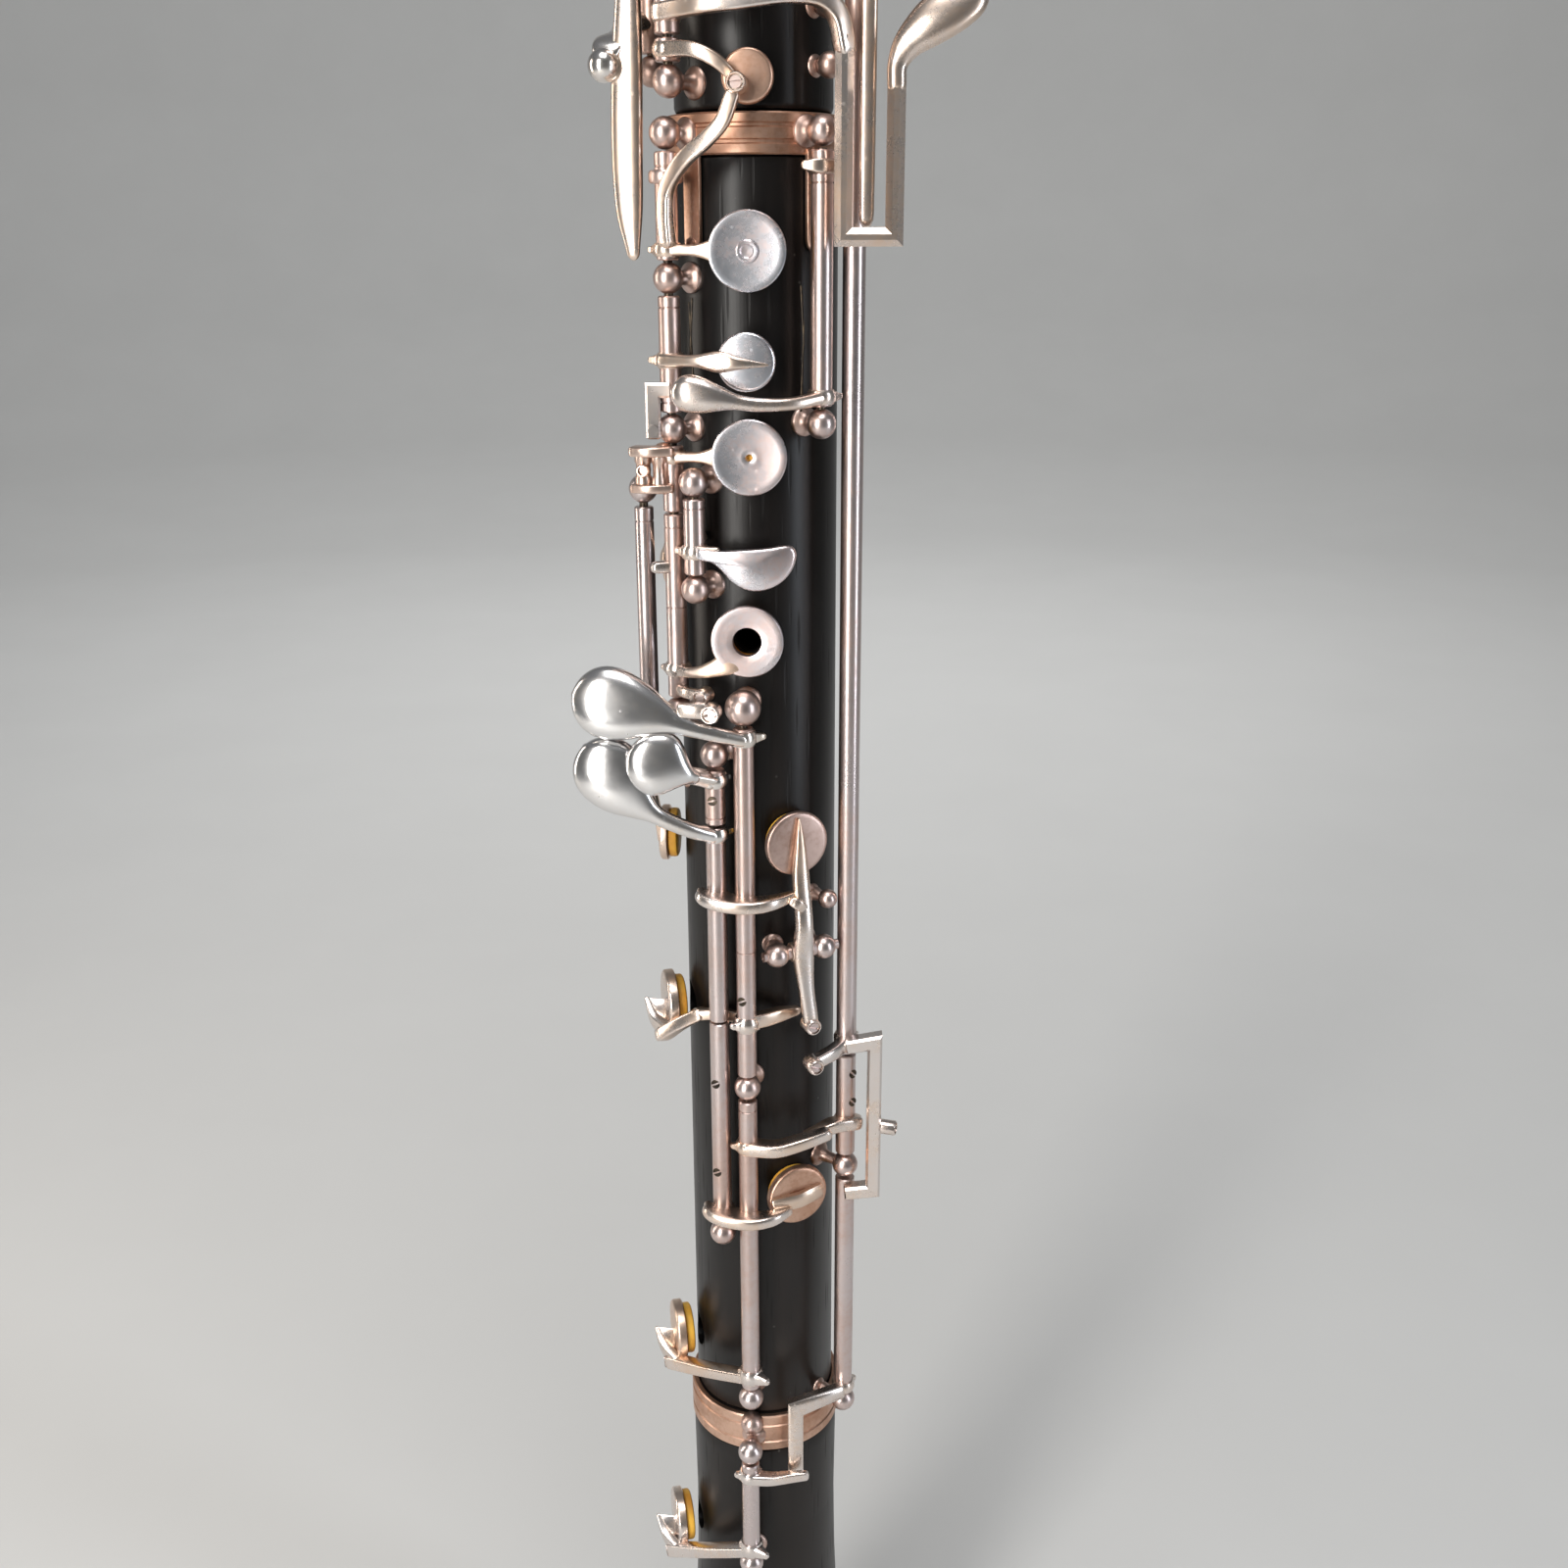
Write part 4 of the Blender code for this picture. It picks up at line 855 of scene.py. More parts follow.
def e_and_d_keys():
    line, seat = ROD_C, OPEN_SEAT
    top = seat + PAD_THICK + 0.75
    work = Work(ROD_SILVER)
    work.tube(line, 308.2, 319.0)
    work.finish = PLATE_SILVER
    plate(work, PLATE_ANGLE, 317.6, seat, hole=0.5)
    work.finish = ARM_SILVER
    plate_arm(work, line, 317.2, PLATE_ANGLE, 317.6, 6.15, top)
    work.finish = RING_SILVER
    for z, thick in ((318.3, 1.7), (312.3, 1.5)):
        work.arm([(-14.2, -14.0, z), (-17.2, -14.6, z), (-19.9, -13.9, z)], (thick,) * 3, (3.6, 3.8, 3.2),
                 square=6)
    work.arm([(-15.2, -12.9, 318.4), (-15.2, -12.9, 312.2)], (2.6, 2.6), (2.4, 2.4), square=6)
    for x, y, radius in ((-18.5, -13.7, 1.4), (-15.9, -14.7, 1.15)):
        work.spin([(0, 312.6), (radius, 312.6), (radius, 314.0), (radius - 0.2, 314.3), (radius - 0.2, 316.2),
                   (radius, 316.5), (radius, 318.0), (0, 318.0)], (x, y, 0), UP, 30)
    barrel(work, "e_key", (-18.4, -14.8, 315.3), (-0.15, -1, 0), 2.4, 1.05)
    work.finish = ARM_SILVER
    work.key("e_key")
    skin_pad("e_pad", "e_key", PLATE_ANGLE)

    work = Work(ROD_SILVER)
    work.tube(line, 276.2, 307.8, rings=(305.6, 292.0))
    work.finish = PLATE_SILVER
    plate(work, RING_ANGLE, 287.0, seat, hole=2.4, dish=0.15)
    work.finish = ARM_SILVER
    saddle(work, line, 281.1, around(-16, 18, 282.4), 2.1)
    work.arm([over(line, 281.1, 1.0), around(-34, 18.9, 281.2), around(-20, 18.3, 282.6),
              around(-12, 17.9, 284.2)], (2.1, 1.9, 3.4, 5.2), (2.2, 1.5, 1.0, 0.5), square=3.2)
    work.arm([at(line, 298.9), (-16.9, -13.6, 298.9)], (2.4, 2.0), (2.4, 1.9), square=3)
    work.arm([at(line, 277.6), (-12.0, -15.6, 277.6), (-9.6, -17.2, 277.6)], (2.2, 2.0, 2.0), (2.4, 1.8, 1.8),
             square=3)
    barrel(work, "d_ring_key", (-9.2, -17.8, 277.6), (-0.4, -1, 0), 3.6)
    work.key("d_ring_key", "d_ring")
    skin_pad("d_pad", "d_ring_key", -5.2, 2.7)


def f_and_trill_keys():
    line = ROD_F
    work = Work(ROD_SILVER)
    work.tube(line, 298.2, 310.8, rings=(309.2,))
    work.finish = PLATE_SILVER
    moon = [(-9.6, 2.5), (-6.0, 2.2), (-2.0, 2.4), (2.0, 2.7), (5.2, 3.1), (6.5, 2.7), (7.0, 1.4), (6.5, -0.5),
            (5.2, -2.4), (3.2, -3.8), (0.8, -4.4), (-1.6, -4.1), (-3.8, -2.8), (-5.4, -1.0), (-7.2, 0.3),
            (-9.6, 0.9)]
    edge = [tuple(spot) for spot in smooth(np.array([*moon, moon[0]], float), 3)[:-1]]
    work.slab(edge, around(-1, 18.9, 300.4), np.cross(UP, around(-1, 1, 0)), UP, 1.5, 0.5, 0.45, 0.012)
    work.finish = ARM_SILVER
    saddle(work, line, 302.0, around(-10, 19, 301.8), 2.2, 2.8)
    work.arm([over(line, 302.0, 1.0), around(-27, 19.4, 302.1), around(-20, 18.9, 301.9)],
             (2.4, 2.2, 2.4), (2.4, 1.8, 1.3), square=3)
    work.arm([at(line, 304.0), around(-36, 15.4, 304.0), around(-54, 15.0, 303.6), around(-80, 15.5, 300.6),
              around(-98, 17.0, 297.6)], (2.0, 1.5, 1.5, 1.6, 3.0), (1.8, 1.3, 1.3, 1.3, 1.2), square=3)
    cup(work, -98, 297.0, SHUT_SEAT + 0.1, 4.2, 2.2, 0.2)
    work.key("f_key")

    line = ROD_TRILL
    work = Work(ROD_SILVER)
    work.tube(line, 325.5, 364.2, 1.8, (359.4,))
    collar(work, line, 361.7, 2.4, 2.3)
    work.finish = ARM_SILVER
    saddle(work, line, 327.0, (0, -20, 327), 2.3, 2.8)
    work.spoon([over(line, 327.0, 0.9), (6.0, -19.2, 326.3), (0.0, -20.3, 326.3), (-5.4, -20.5, 327.2),
                (-10.2, -19.9, 328.0)], (2.3, 2.1, 2.2, 2.6, 3.4), (2.6, 2.1, 2.0, 2.2, 2.6), 3.0, 4.2, 2.8,
               square=2.3)
    work.arm([(12.6, -15.4, 361.7), (10.2, -16.9, 361.8), (8.0, -16.9, 361.9)], (2.2, 2.2, 1.4),
             (2.4, 1.8, 1.2))
    work.key("trill_key")


def low_keys():
    line = ROD_A
    work = Work(ROD_SILVER)
    work.tube(line, 205.4, 272.2, rings=(270.9, 230.5))
    pin_in("low_c_key", line, 221.0, -20)
    work.finish = TOUCH_SILVER
    saddle(work, line, 270.4, (-9, -21, 272), 2.5, 3.4)
    work.spoon([over(line, 270.4, 1.2), (-6.4, -21.0, 271.6), (-11.5, -21.6, 273.2), (-18.0, -21.2, 275.4),
                (-25.2, -20.2, 277.2)], (2.6, 2.6, 3.2, 5.2, 7.6), (2.8, 2.4, 2.6, 3.2, 4.2), 6.2, 5.4, 2.1,
               facing=(-0.12, -1, 0.2), square=2.2, sides=36)
    work.finish = ARM_SILVER
    work.mitred([(-13.4, -21.4, 276.0), (-9.6, -21.8, 276.2), (-6.4, -21.7, 275.4)], 2.6, 1.8, ease=0.35)
    barrel(work, "low_c_key", (-7.7, -21.9, 275.8), (-0.2, -1, 0), 3.0, 1.6)
    saddle(work, line, 216.0, around(20, 16, 216), 2.8, 2.4)
    work.arm([over(line, 216.4, 0.5), around(2, 17.8, 216.4), around(12, 16.6, 216.5),
              around(24, 16.2, 216.6)], (2.6, 2.8, 2.6, 1.7), (2.6, 2.4, 2.2, 1.6))
    work.arm([at(line, 215.6), around(-14, 15.9, 215.4), around(-30, 15.6, 215.2), around(-45, 17.0, 214.4)],
             (2.4, 2.2, 2.1, 2.2), (2.0, 1.5, 1.5, 2.2))
    cup_arm(work, around(-43, 16.6, 214.5), 213.4, OPEN_SEAT)
    cup(work, SIDE_ANGLE, 213.4, OPEN_SEAT + PAD_THICK + 0.1, 5.9, 2.0)
    work.key("low_c_key")
    skin_pad("low_c_pad", "low_c_key", SIDE_ANGLE)

    work = Work(ROD_SILVER)
    work.tube(line, 135.6, 200.1, rings=(198.2, 137.0))
    work.finish = ARM_SILVER
    saddle(work, line, 190.4, (10, -19.3, 191), 2.4)
    work.arm([over(line, 190.4, 0.6), (2.6, -20.2, 190.6), (7.0, -19.8, 191.6), (12.2, -18.0, 192.4)],
             (2.6, 2.6, 2.5, 2.2), (3.6, 3.4, 3.2, 2.4))
    side_cup(work, ROD_A, 138.4, 138.0, OPEN_SEAT + 0.2)
    work.key("low_b_key")
    skin_pad("low_b_pad", "low_b_key", SIDE_ANGLE)

    line = ROD_BELL
    work = Work(ROD_SILVER)
    work.tube(line, 95.0, 117.8, rings=(96.2,))
    work.finish = ARM_SILVER
    saddle(work, line, 114.8, (8, -20.6, 115), 2.5)
    work.arm([over(line, 114.8, 0.8), (1.2, -21.1, 114.8), (5.0, -21.4, 115.5), (8.4, -21.2, 115.7)],
             (2.4, 2.3, 2.2, 2.0), (3.0, 2.4, 1.8, 1.3))
    side_cup(work, line, 96.4, 89.7, 16.5)
    work.key("bell_key")
    skin_pad("bell_pad", "bell_key", SIDE_ANGLE)


def cup_arm(work, start, z, seat):
    """The straight bar that passes below a side cup, its upturned point and the web between point and cup."""
    reach = seat + PAD_THICK
    corner, tip = around(-65, reach + 3.2, z - 4.7), around(-78, reach + 5.6, z + 0.6)
    start = np.asarray(start, float)
    along = unit(corner - start)
    work.arm([start, (start + corner) / 2 + outward(corner) * 0.5, corner, corner + along * 1.2],
             (2.4, 2.4, 2.7, 2.4), (2.6, 2.8, 3.0, 2.6), square=6)
    work.arm([corner - along * 0.6, corner * 0.55 + tip * 0.45 + along * 0.7, tip], (3.6, 2.9, 0.7),
             (2.0, 1.7, 0.8), square=6)
    web = np.array([tip, corner + along * 0.6, around(-70, reach + 1.7, z - 4.9),
                    around(-75, reach + 1.7, z + 0.2)])
    across = unit(np.cross(web[1] - web[0], web[2] - web[0]))
    hub = web.mean(axis=0)
    work.loft([hub + (web - hub) * scale + across * lift for scale,
               lift in ((0.9, -0.7), (1, -0.5), (1, 0.5), (0.9, 0.7))])


def side_cup(work, line, z_arm, z, seat):
    """A left-side pad cup on the bar that leaves the tube for it."""
    start = over(line, z_arm, 0.9)
    saddle(work, line, z_arm, around(-65, 20, z_arm), 3.0, 3.6)
    cup_arm(work, start, z, seat)
    cup(work, SIDE_ANGLE, z, seat + PAD_THICK + 0.1, 5.9, 2.0)


def crescent(work, z, tip):
    """A flat arm from rod B that passes in front of rod A like a new moon lying on its back."""
    work.arm([(-10.4, -17.4, z + 1.7), (-9.4, -18.7, z + 1.0), (-6.4, -19.8, z + 0.4), (-2.2, -20.8, z + 0.2),
              (1.8, -20.4, z + 0.4), tip], (1.0, 2.2, 2.5, 2.5, 2.3, 1.7), (1.4, 4.2, 5.0, 4.4, 3.2, 1.8),
             fine=9, sides=28, square=4)
    collar(work, ROD_B, z, 2.4, 2.5)


def rod_b_keys():
    line = ROD_B
    work = Work(ROD_SILVER)
    work.tube(line, 216.0, 253.7, rings=(252.0,))
    work.finish = TOUCH_SILVER
    saddle(work, line, 252.4, (-12, -20.4, 253), 2.4, 3.2)
    work.spoon([over(line, 252.4, 1.2), (-12.0, -20.0, 254.2), (-17.6, -20.8, 257.2), (-22.2, -20.6, 261.0),
                (-25.6, -20.0, 264.8)], (2.8, 2.8, 3.2, 5.0, 7.4), (3.0, 2.6, 2.6, 3.2, 4.2), 6.2, 5.4, 1.9,
               facing=(-0.12, -1, 0.1), square=2.2, sides=36)
    work.finish = ARM_SILVER
    crescent(work, 240.0, (5.8, -17.6, 240.6))
    work.key("e_flat_touch")

    work = Work(ROD_SILVER)
    work.tube(line, 174.0, 215.6)
    work.tube(line, 254.3, 264.3, rings=(255.6,))
    for z, angle in ((259.0, 8), (203.4, -6), (184.6, -6)):
        pin_in("c_sharp_key", line, z, angle)
    work.finish = DARK_STEEL
    work.spin([(0, 214.5), (0.75, 214.5), (0.75, 255.5), (0, 255.5)], at(line, 0), UP, 24)
    work.finish = TOUCH_SILVER
    saddle(work, line, 262.4, (-12, -21, 263), 2.3, 2.9)
    work.arm([over(line, 262.6, 1.1), (-12.4, -21.3, 264.8)], (2.7, 2.5), (2.8, 2.4))
    work.spoon([(-10.8, -20.8, 264.1), (-12.6, -21.8, 265.0), (-16.6, -22.0, 266.8)], (2.4, 2.8, 6.0),
               (2.2, 2.4, 3.6), 5.7, 4.8, 1.15, facing=(0, -1, 0.15), square=2.2, sides=36)
    work.finish = ARM_SILVER
    crescent(work, 175.2, (5.0, -18.4, 175.9))
    work.finish = RING_SILVER
    cup(work, LEVER_ANGLE, 177.6, SHUT_SEAT + PAD_THICK + 0.1, 6.0, 1.7, 0.15)
    work.finish = ARM_SILVER
    low, high = around(6.0, 18.5, 176.9), around(39.0, 18.3, 178.0)
    work.mitred([low, (low + high) / 2 + outward(high) * 0.9, high], 3.0, 1.5,
                outward(around(LEVER_ANGLE, 1, 0)), 0.35)
    work.key("c_sharp_key")
    skin_pad("c_sharp_pad", "c_sharp_key", LEVER_ANGLE)


def seesaw():
    centre, along, out = seesaw_place()
    work = Work(ROD_SILVER)
    base = SHUT_SEAT + PAD_THICK
    cup(work, LEVER_ANGLE, 249.7, base + 0.1, 5.9, 1.3, 0.2)
    work.finish = ARM_SILVER
    work.spin([(0, -2.0), (1.6, -2.0), (1.8, -1.8), (1.8, 1.8), (1.6, 2.0), (0, 2.0)], centre, along, 32)
    tail = centre + out * 2.4 - UP * 13.4 + along
    work.arm([around(LEVER_ANGLE, base + 1.9, 254.6), around(LEVER_ANGLE, base + 2.2, 250.0),
              around(LEVER_ANGLE, base + 2.6, 243.6), centre + out * 1.6 + UP * 6, centre + out * 1.3,
              centre + out * 1.8 - UP * 6.5 + along * 0.3, tail], (0.4, 2.0, 3.2, 3.3, 3.9, 3.0, 2.8),
             (0.6, 1.8, 2.2, 2.4, 2.6, 2.3, 2.2), square=2.6)
    work.arm([centre + out * 1.5 + UP * 8.8, around(20, 20.3, 239.6), around(17.0, 20.0, 240.2)],
             (1.8, 2.0, 1.6), (1.5, 1.4, 1.1))
    barrel(work, "e_flat_cup_lever", tail - UP * 0.6, out, 3.2, 1.5)
    work.key("e_flat_cup_lever", "e_flat_cup")
    skin_pad("e_flat_pad", "e_flat_cup_lever", LEVER_ANGLE)


def rod_d_levers():
    line = ROD_D
    work = Work(ROD_SILVER)
    work.tube(line, 206.6, 425.2, 1.85, (423.0, 352.0, 208.2))
    work.tube(line, 129.5, 179.5, 1.85, (131.2,))
    work.finish = ARM_SILVER
    work.mitred([(15.8, -14.6, 209.1), (21.2, -14.6, 210.1), (21.2, -14.6, 178.3), (15.8, -14.6, 177.7)], 2.7,
                3.0)
    saddle(work, line, 209.4, (9, -20, 208), 2.4, 2.2)
    work.arm([over(line, 209.4, 0.9), (13.6, -16.6, 209.0), (11.2, -18.6, 208.6), (9.7, -19.6, 208.3)],
             (2.8, 2.6, 2.5, 2.5), (2.6, 2.4, 2.4, 2.4))
    barrel(work, "low_b_flat_lever", (9.7, -20.0, 208.2), (0.4, -1, 0), 3.4, 1.5)
    barrel(work, "low_b_flat_lever", (23.7, -14.6, 191.8), (1, -0.3, 0), 3.6, 1.4)
    saddle(work, line, 130.6, (11, -17, 131), 2.4, 2.6)
    work.mitred([(16.2, -14.4, 131.2), (6.4, -18.5, 130.2), (6.4, -18.5, 114.2), (5.0, -18.5, 114.0)], 3.0, 2.2)
    work.finish = TOUCH_SILVER
    saddle(work, line, 415.0, (20, -15, 413), 2.6)
    work.spoon([over(line, 415.0), (19.8, -15.4, 413.6), (25.0, -16.8, 410.2), (30.0, -17.2, 405.8)],
               (2.6, 2.5, 3.4, 4.2), (2.6, 2.0, 2.0, 2.2), 6.2, 3.4)
    work.finish = ARM_SILVER
    work.arm([(16.8, -13.6, 399.6), (17.4, -15.8, 398.2), (17.6, -16.5, 392.0), (17.6, -16.5, 372.0),
              (17.6, -16.3, 354.8)], (2.6, 2.6, 2.6, 2.6, 2.4), (2.3, 2.2, 2.2, 2.2, 2.0), facing=(0, -1, 0),
             square=3, blunt=(0.5, 1.1))
    work.key("low_b_flat_lever")

    work = Work(ROD_SILVER)
    work.tube(line, 185.0, 206.2, 1.85)
    for z in (202.4, 196.4):
        pin_in("low_b_lever", line, z, -8, 1.85)
    work.finish = DARK_STEEL
    work.spin([(0, 205.8), (0.75, 205.8), (0.75, 425.5), (0, 425.5)], at(line, 0), UP, 24)
    work.finish = ARM_SILVER
    saddle(work, line, 191.6, (8, -17, 191), 2.4)
    work.arm([over(line, 191.8, 0.9) + (1.2, 0, 0), (13.6, -14.6, 192.2), (10.6, -15.6, 191.4),
              (8.6, -15.9, 190.8)], (2.7, 2.6, 2.4, 2.0), (3.4, 3.0, 2.2, 1.6))
    work.key("low_b_lever")


def side_vent():
    line = ROD_SIDE
    work = Work(ROD_SILVER)
    work.tube(line, 261.8, 308.0, 1.65, (305.6, 263.4))
    work.finish = ARM_SILVER
    work.arm([at(line, 266.0), (-20.6, -2.6, 261.4), (-20.2, 0.4, 256.0), around(-93, 19.0, 248.6),
              around(-93, 18.9, 244.4)], (2.4, 2.2, 2.2, 2.4, 1.2), (2.4, 1.8, 1.7, 1.5, 0.8), square=3)
    cup(work, -93, 245.9, OPEN_SEAT + PAD_THICK + 0.1, 5.2, 1.6, 0.2)
    work.key("side_vent_key", "side_vent")
    skin_pad("side_vent_pad", "side_vent_key", -93)


# --- keys of the upper joint ----------------------------------------------------------------------
def upper_keys():
    line = ROD_UPPER
    work = Work(ROD_SILVER)
    work.tube(line, 376.8, 380.1, 1.95)
    work.finish = ARM_SILVER
    saddle(work, line, 378.5, (-8, -17.4, 378.6), 2.2, 1.8)
    work.arm([over(line, 378.5), (-9.0, -17.0, 378.2), (-5.4, -17.8, 376.6), (-2.9, -17.4, 374.4)],
             (2.5, 2.2, 2.0, 1.6), (2.4, 1.7, 1.5, 0.9))
    work.finish = RING_SILVER
    cup(work, -2.5, 374.6, 14.3, 4.0, 2.1, 0.1)
    work.key("bridge_key")

    work = Work(ROD_SILVER)
    work.tube(line, 380.6, 399.3, 1.95, (397.4,))
    work.finish = ARM_SILVER
    saddle(work, line, 383.6, (-4, -19.4, 384), 2.6, 1.9)
    work.arm([over(line, 383.6, 1.2), (-7.8, -18.6, 384.0), (-2.0, -19.9, 384.4), (5.0, -20.2, 385.2),
              (10.0, -19.6, 385.0), (12.8, -18.9, 382.6), (13.9, -18.8, 378.0)],
             (2.8, 2.6, 2.5, 2.6, 3.0, 3.0, 2.8), (3.0, 2.4, 2.2, 2.2, 2.4, 2.6, 2.8), square=4.5, sides=28)
    work.mitred([(13.9, -18.8, 380.0), (13.9, -18.8, 351.4), (21.8, -18.8, 351.4), (21.8, -18.8, 376.0)], 2.8,
                2.6, ease=0.7)
    work.arm([(21.8, -18.8, 373.0), (21.9, -18.7, 375.8), (23.4, -18.9, 378.6), (26.4, -19.0, 381.2),
              (29.6, -18.9, 383.4), (32.4, -18.6, 385.4), (34.4, -18.3, 387.0)],
             (2.9, 3.1, 4.6, 6.6, 7.4, 6.8, 3.6), (2.8, 2.9, 3.4, 4.2, 4.4, 3.8, 2.0), facing=(0.1, -1, 0.5),
             square=2.3, sides=36, fine=9)
    work.finish = ARM_SILVER
    saddle(work, line, 391.0, around(-62, 15.9, 391), 2.0, 2.4)
    work.arm([at(line, 391.0) - outward(line) * 0.4, around(-58, 16.6, 391), around(-70, 15.9, 391)],
             (2.0, 2.0, 1.6), (2.0, 1.6, 1.0))
    cup(work, -70, 391.0, 13.35, 4.2, 2.2, 0.2)
    work.key("g_sharp_key")

    for name, low, high, z, wood_r in (("g_key", 404.6, 442.4, 430.0, 12.5),
                                       ("a_key", 447.6, 487.4, 462.0, 12.2),
                                       ("half_hole_key", 492.6, 517.4, 500.0, 11.8)):
        work = Work(ROD_SILVER)
        work.tube(line, low, high, 1.95, (low + 1.8, high - 1.8))
        pin_in(name, line, (low * 2 + high) / 3, 10)
        work.finish = PLATE_SILVER
        seat = wood_r + 1.4
        plate(work, -4, z, seat - 0.2, 6.3, 1.35, hole=0.6 if name == "half_hole_key" else 0.0)
        work.finish = PAD_SKIN
        work.spin([(0, 0), (5.0, 0), (5.4, 0.3), (5.4, 1.5), (0, 1.5)], around(-4, seat, z), around(-4, 1, 0),
                  48)
        work.finish = ARM_SILVER
        plate_arm(work, line, z, -4, z, 6.3, seat + 2.2)
        work.key(name)


def vent_cup(work, line, z, steps, angle, base_r, radius, thin=1.3):
    """A small cup and the arm that reaches round the body to it from the tube."""
    work.arm([at(line, z), *(around(*step) for step in steps)], (2.4, 1.9, 1.8, 1.4), (2.4, 1.5, thin, 0.9))
    cup(work, angle, steps[-1][2], base_r, radius, 2.1, 0.15)


def octave_and_shake_keys():
    line = ROD_THUMB
    work = Work(ROD_SILVER)
    work.tube(line, 478.6, 499.4, 1.85, (480.2,))
    work.finish = TOUCH_SILVER
    saddle(work, line, 488.6, around(186, 18, 487), 2.4)
    work.spoon([over(line, 488.6, 1.2), around(172, 18.6, 488.2), around(188, 18.4, 487.0)],
               (2.4, 2.6, 4.0), (2.4, 1.8, 2.0), 5.0, 2.4, 1.2)
    work.finish = ARM_SILVER
    vent_cup(work, line, 490.4, ((144, 15.6, 490.0), (132, 15.0, 489.4), (124, 14.6, 489)), 125, 12.35, 3.8,
             1.4)
    work.key("thumb_octave_key", "thumb_octave")

    line = ROD_OCTAVE
    work = Work(ROD_SILVER)
    work.tube(line, 457.6, 538.4, 1.85, (536.6, 498.0, 459.4))
    pin_in("side_octave_key", line, 470.0, 0, 1.85)
    work.finish = TOUCH_SILVER
    saddle(work, line, 461.8, around(122, 18, 462), 2.4)
    work.spoon([over(line, 461.8, 1.1), around(112, 18.4, 462.0), around(126, 18.0, 463.0)],
               (2.4, 2.4, 3.6), (2.4, 1.7, 1.9), 4.6, 2.4, 1.2)
    work.finish = ARM_SILVER
    vent_cup(work, line, 531.0, ((82, 15.6, 530.8), (70, 14.4, 530.4), (61, 13.9, 530)), 62, 11.65, 3.8)
    work.key("side_octave_key", "side_octave")

    line = ROD_SHAKE
    work = Work(ROD_SILVER)
    work.tube(line, 405.6, 444.4, 1.85, (442.6, 407.4))
    work.finish = ARM_SILVER
    work.arm([at(line, 411.0), (-18.8, 0.2, 408.4), (-19.6, -4.6, 401.6), (-18.9, -9.2, 390.0),
              (-19.3, -10.8, 377.0), (-19.7, -10.8, 366.0), (-19.7, -10.7, 356.0), (-19.3, -10.5, 349.4)],
             (2.4, 2.4, 2.8, 3.6, 4.8, 5.0, 4.4, 2.2), (2.4, 2.2, 2.4, 2.4, 2.4, 2.2, 2.0, 1.2), square=2.6,
             facing=(-0.2, -1, 0.05), sides=28, blunt=(0.5, 1.2))
    work.finish = ARM_SILVER
    vent_cup(work, line, 425.0, ((-124, 16.2, 425), (-132, 15.6, 425), (-141, 15.2, 425)), -140, 13.15, 3.9)
    work.key("long_shake_key", "long_shake")

    work = Work(ROD_SILVER)
    work.tube(line, 379.6, 400.4, 1.85, (398.6,))
    work.finish = TOUCH_SILVER
    work.arm([at(line, 384.4), (-20.0, 0.0, 383.4), (-20.8, -6.4, 381.2), (-22.2, -10.4, 379.0),
              (-23.2, -11.0, 376.6)], (2.6, 4.2, 6.4, 5.2, 3.0), (2.2, 2.0, 1.9, 2.2, 2.4), square=3,
             facing=(-0.35, -1, 0.1))
    work.ball((-22.8, -12.0, 376.4), 2.5, (-0.2, -1, 0), 1.0, 28)
    work.finish = ARM_SILVER
    vent_cup(work, line, 396.0, ((-124, 16.2, 396), (-132, 15.6, 396), (-141, 15.2, 396)), -140, 13.15, 3.9)
    work.key("short_shake_key", "short_shake")


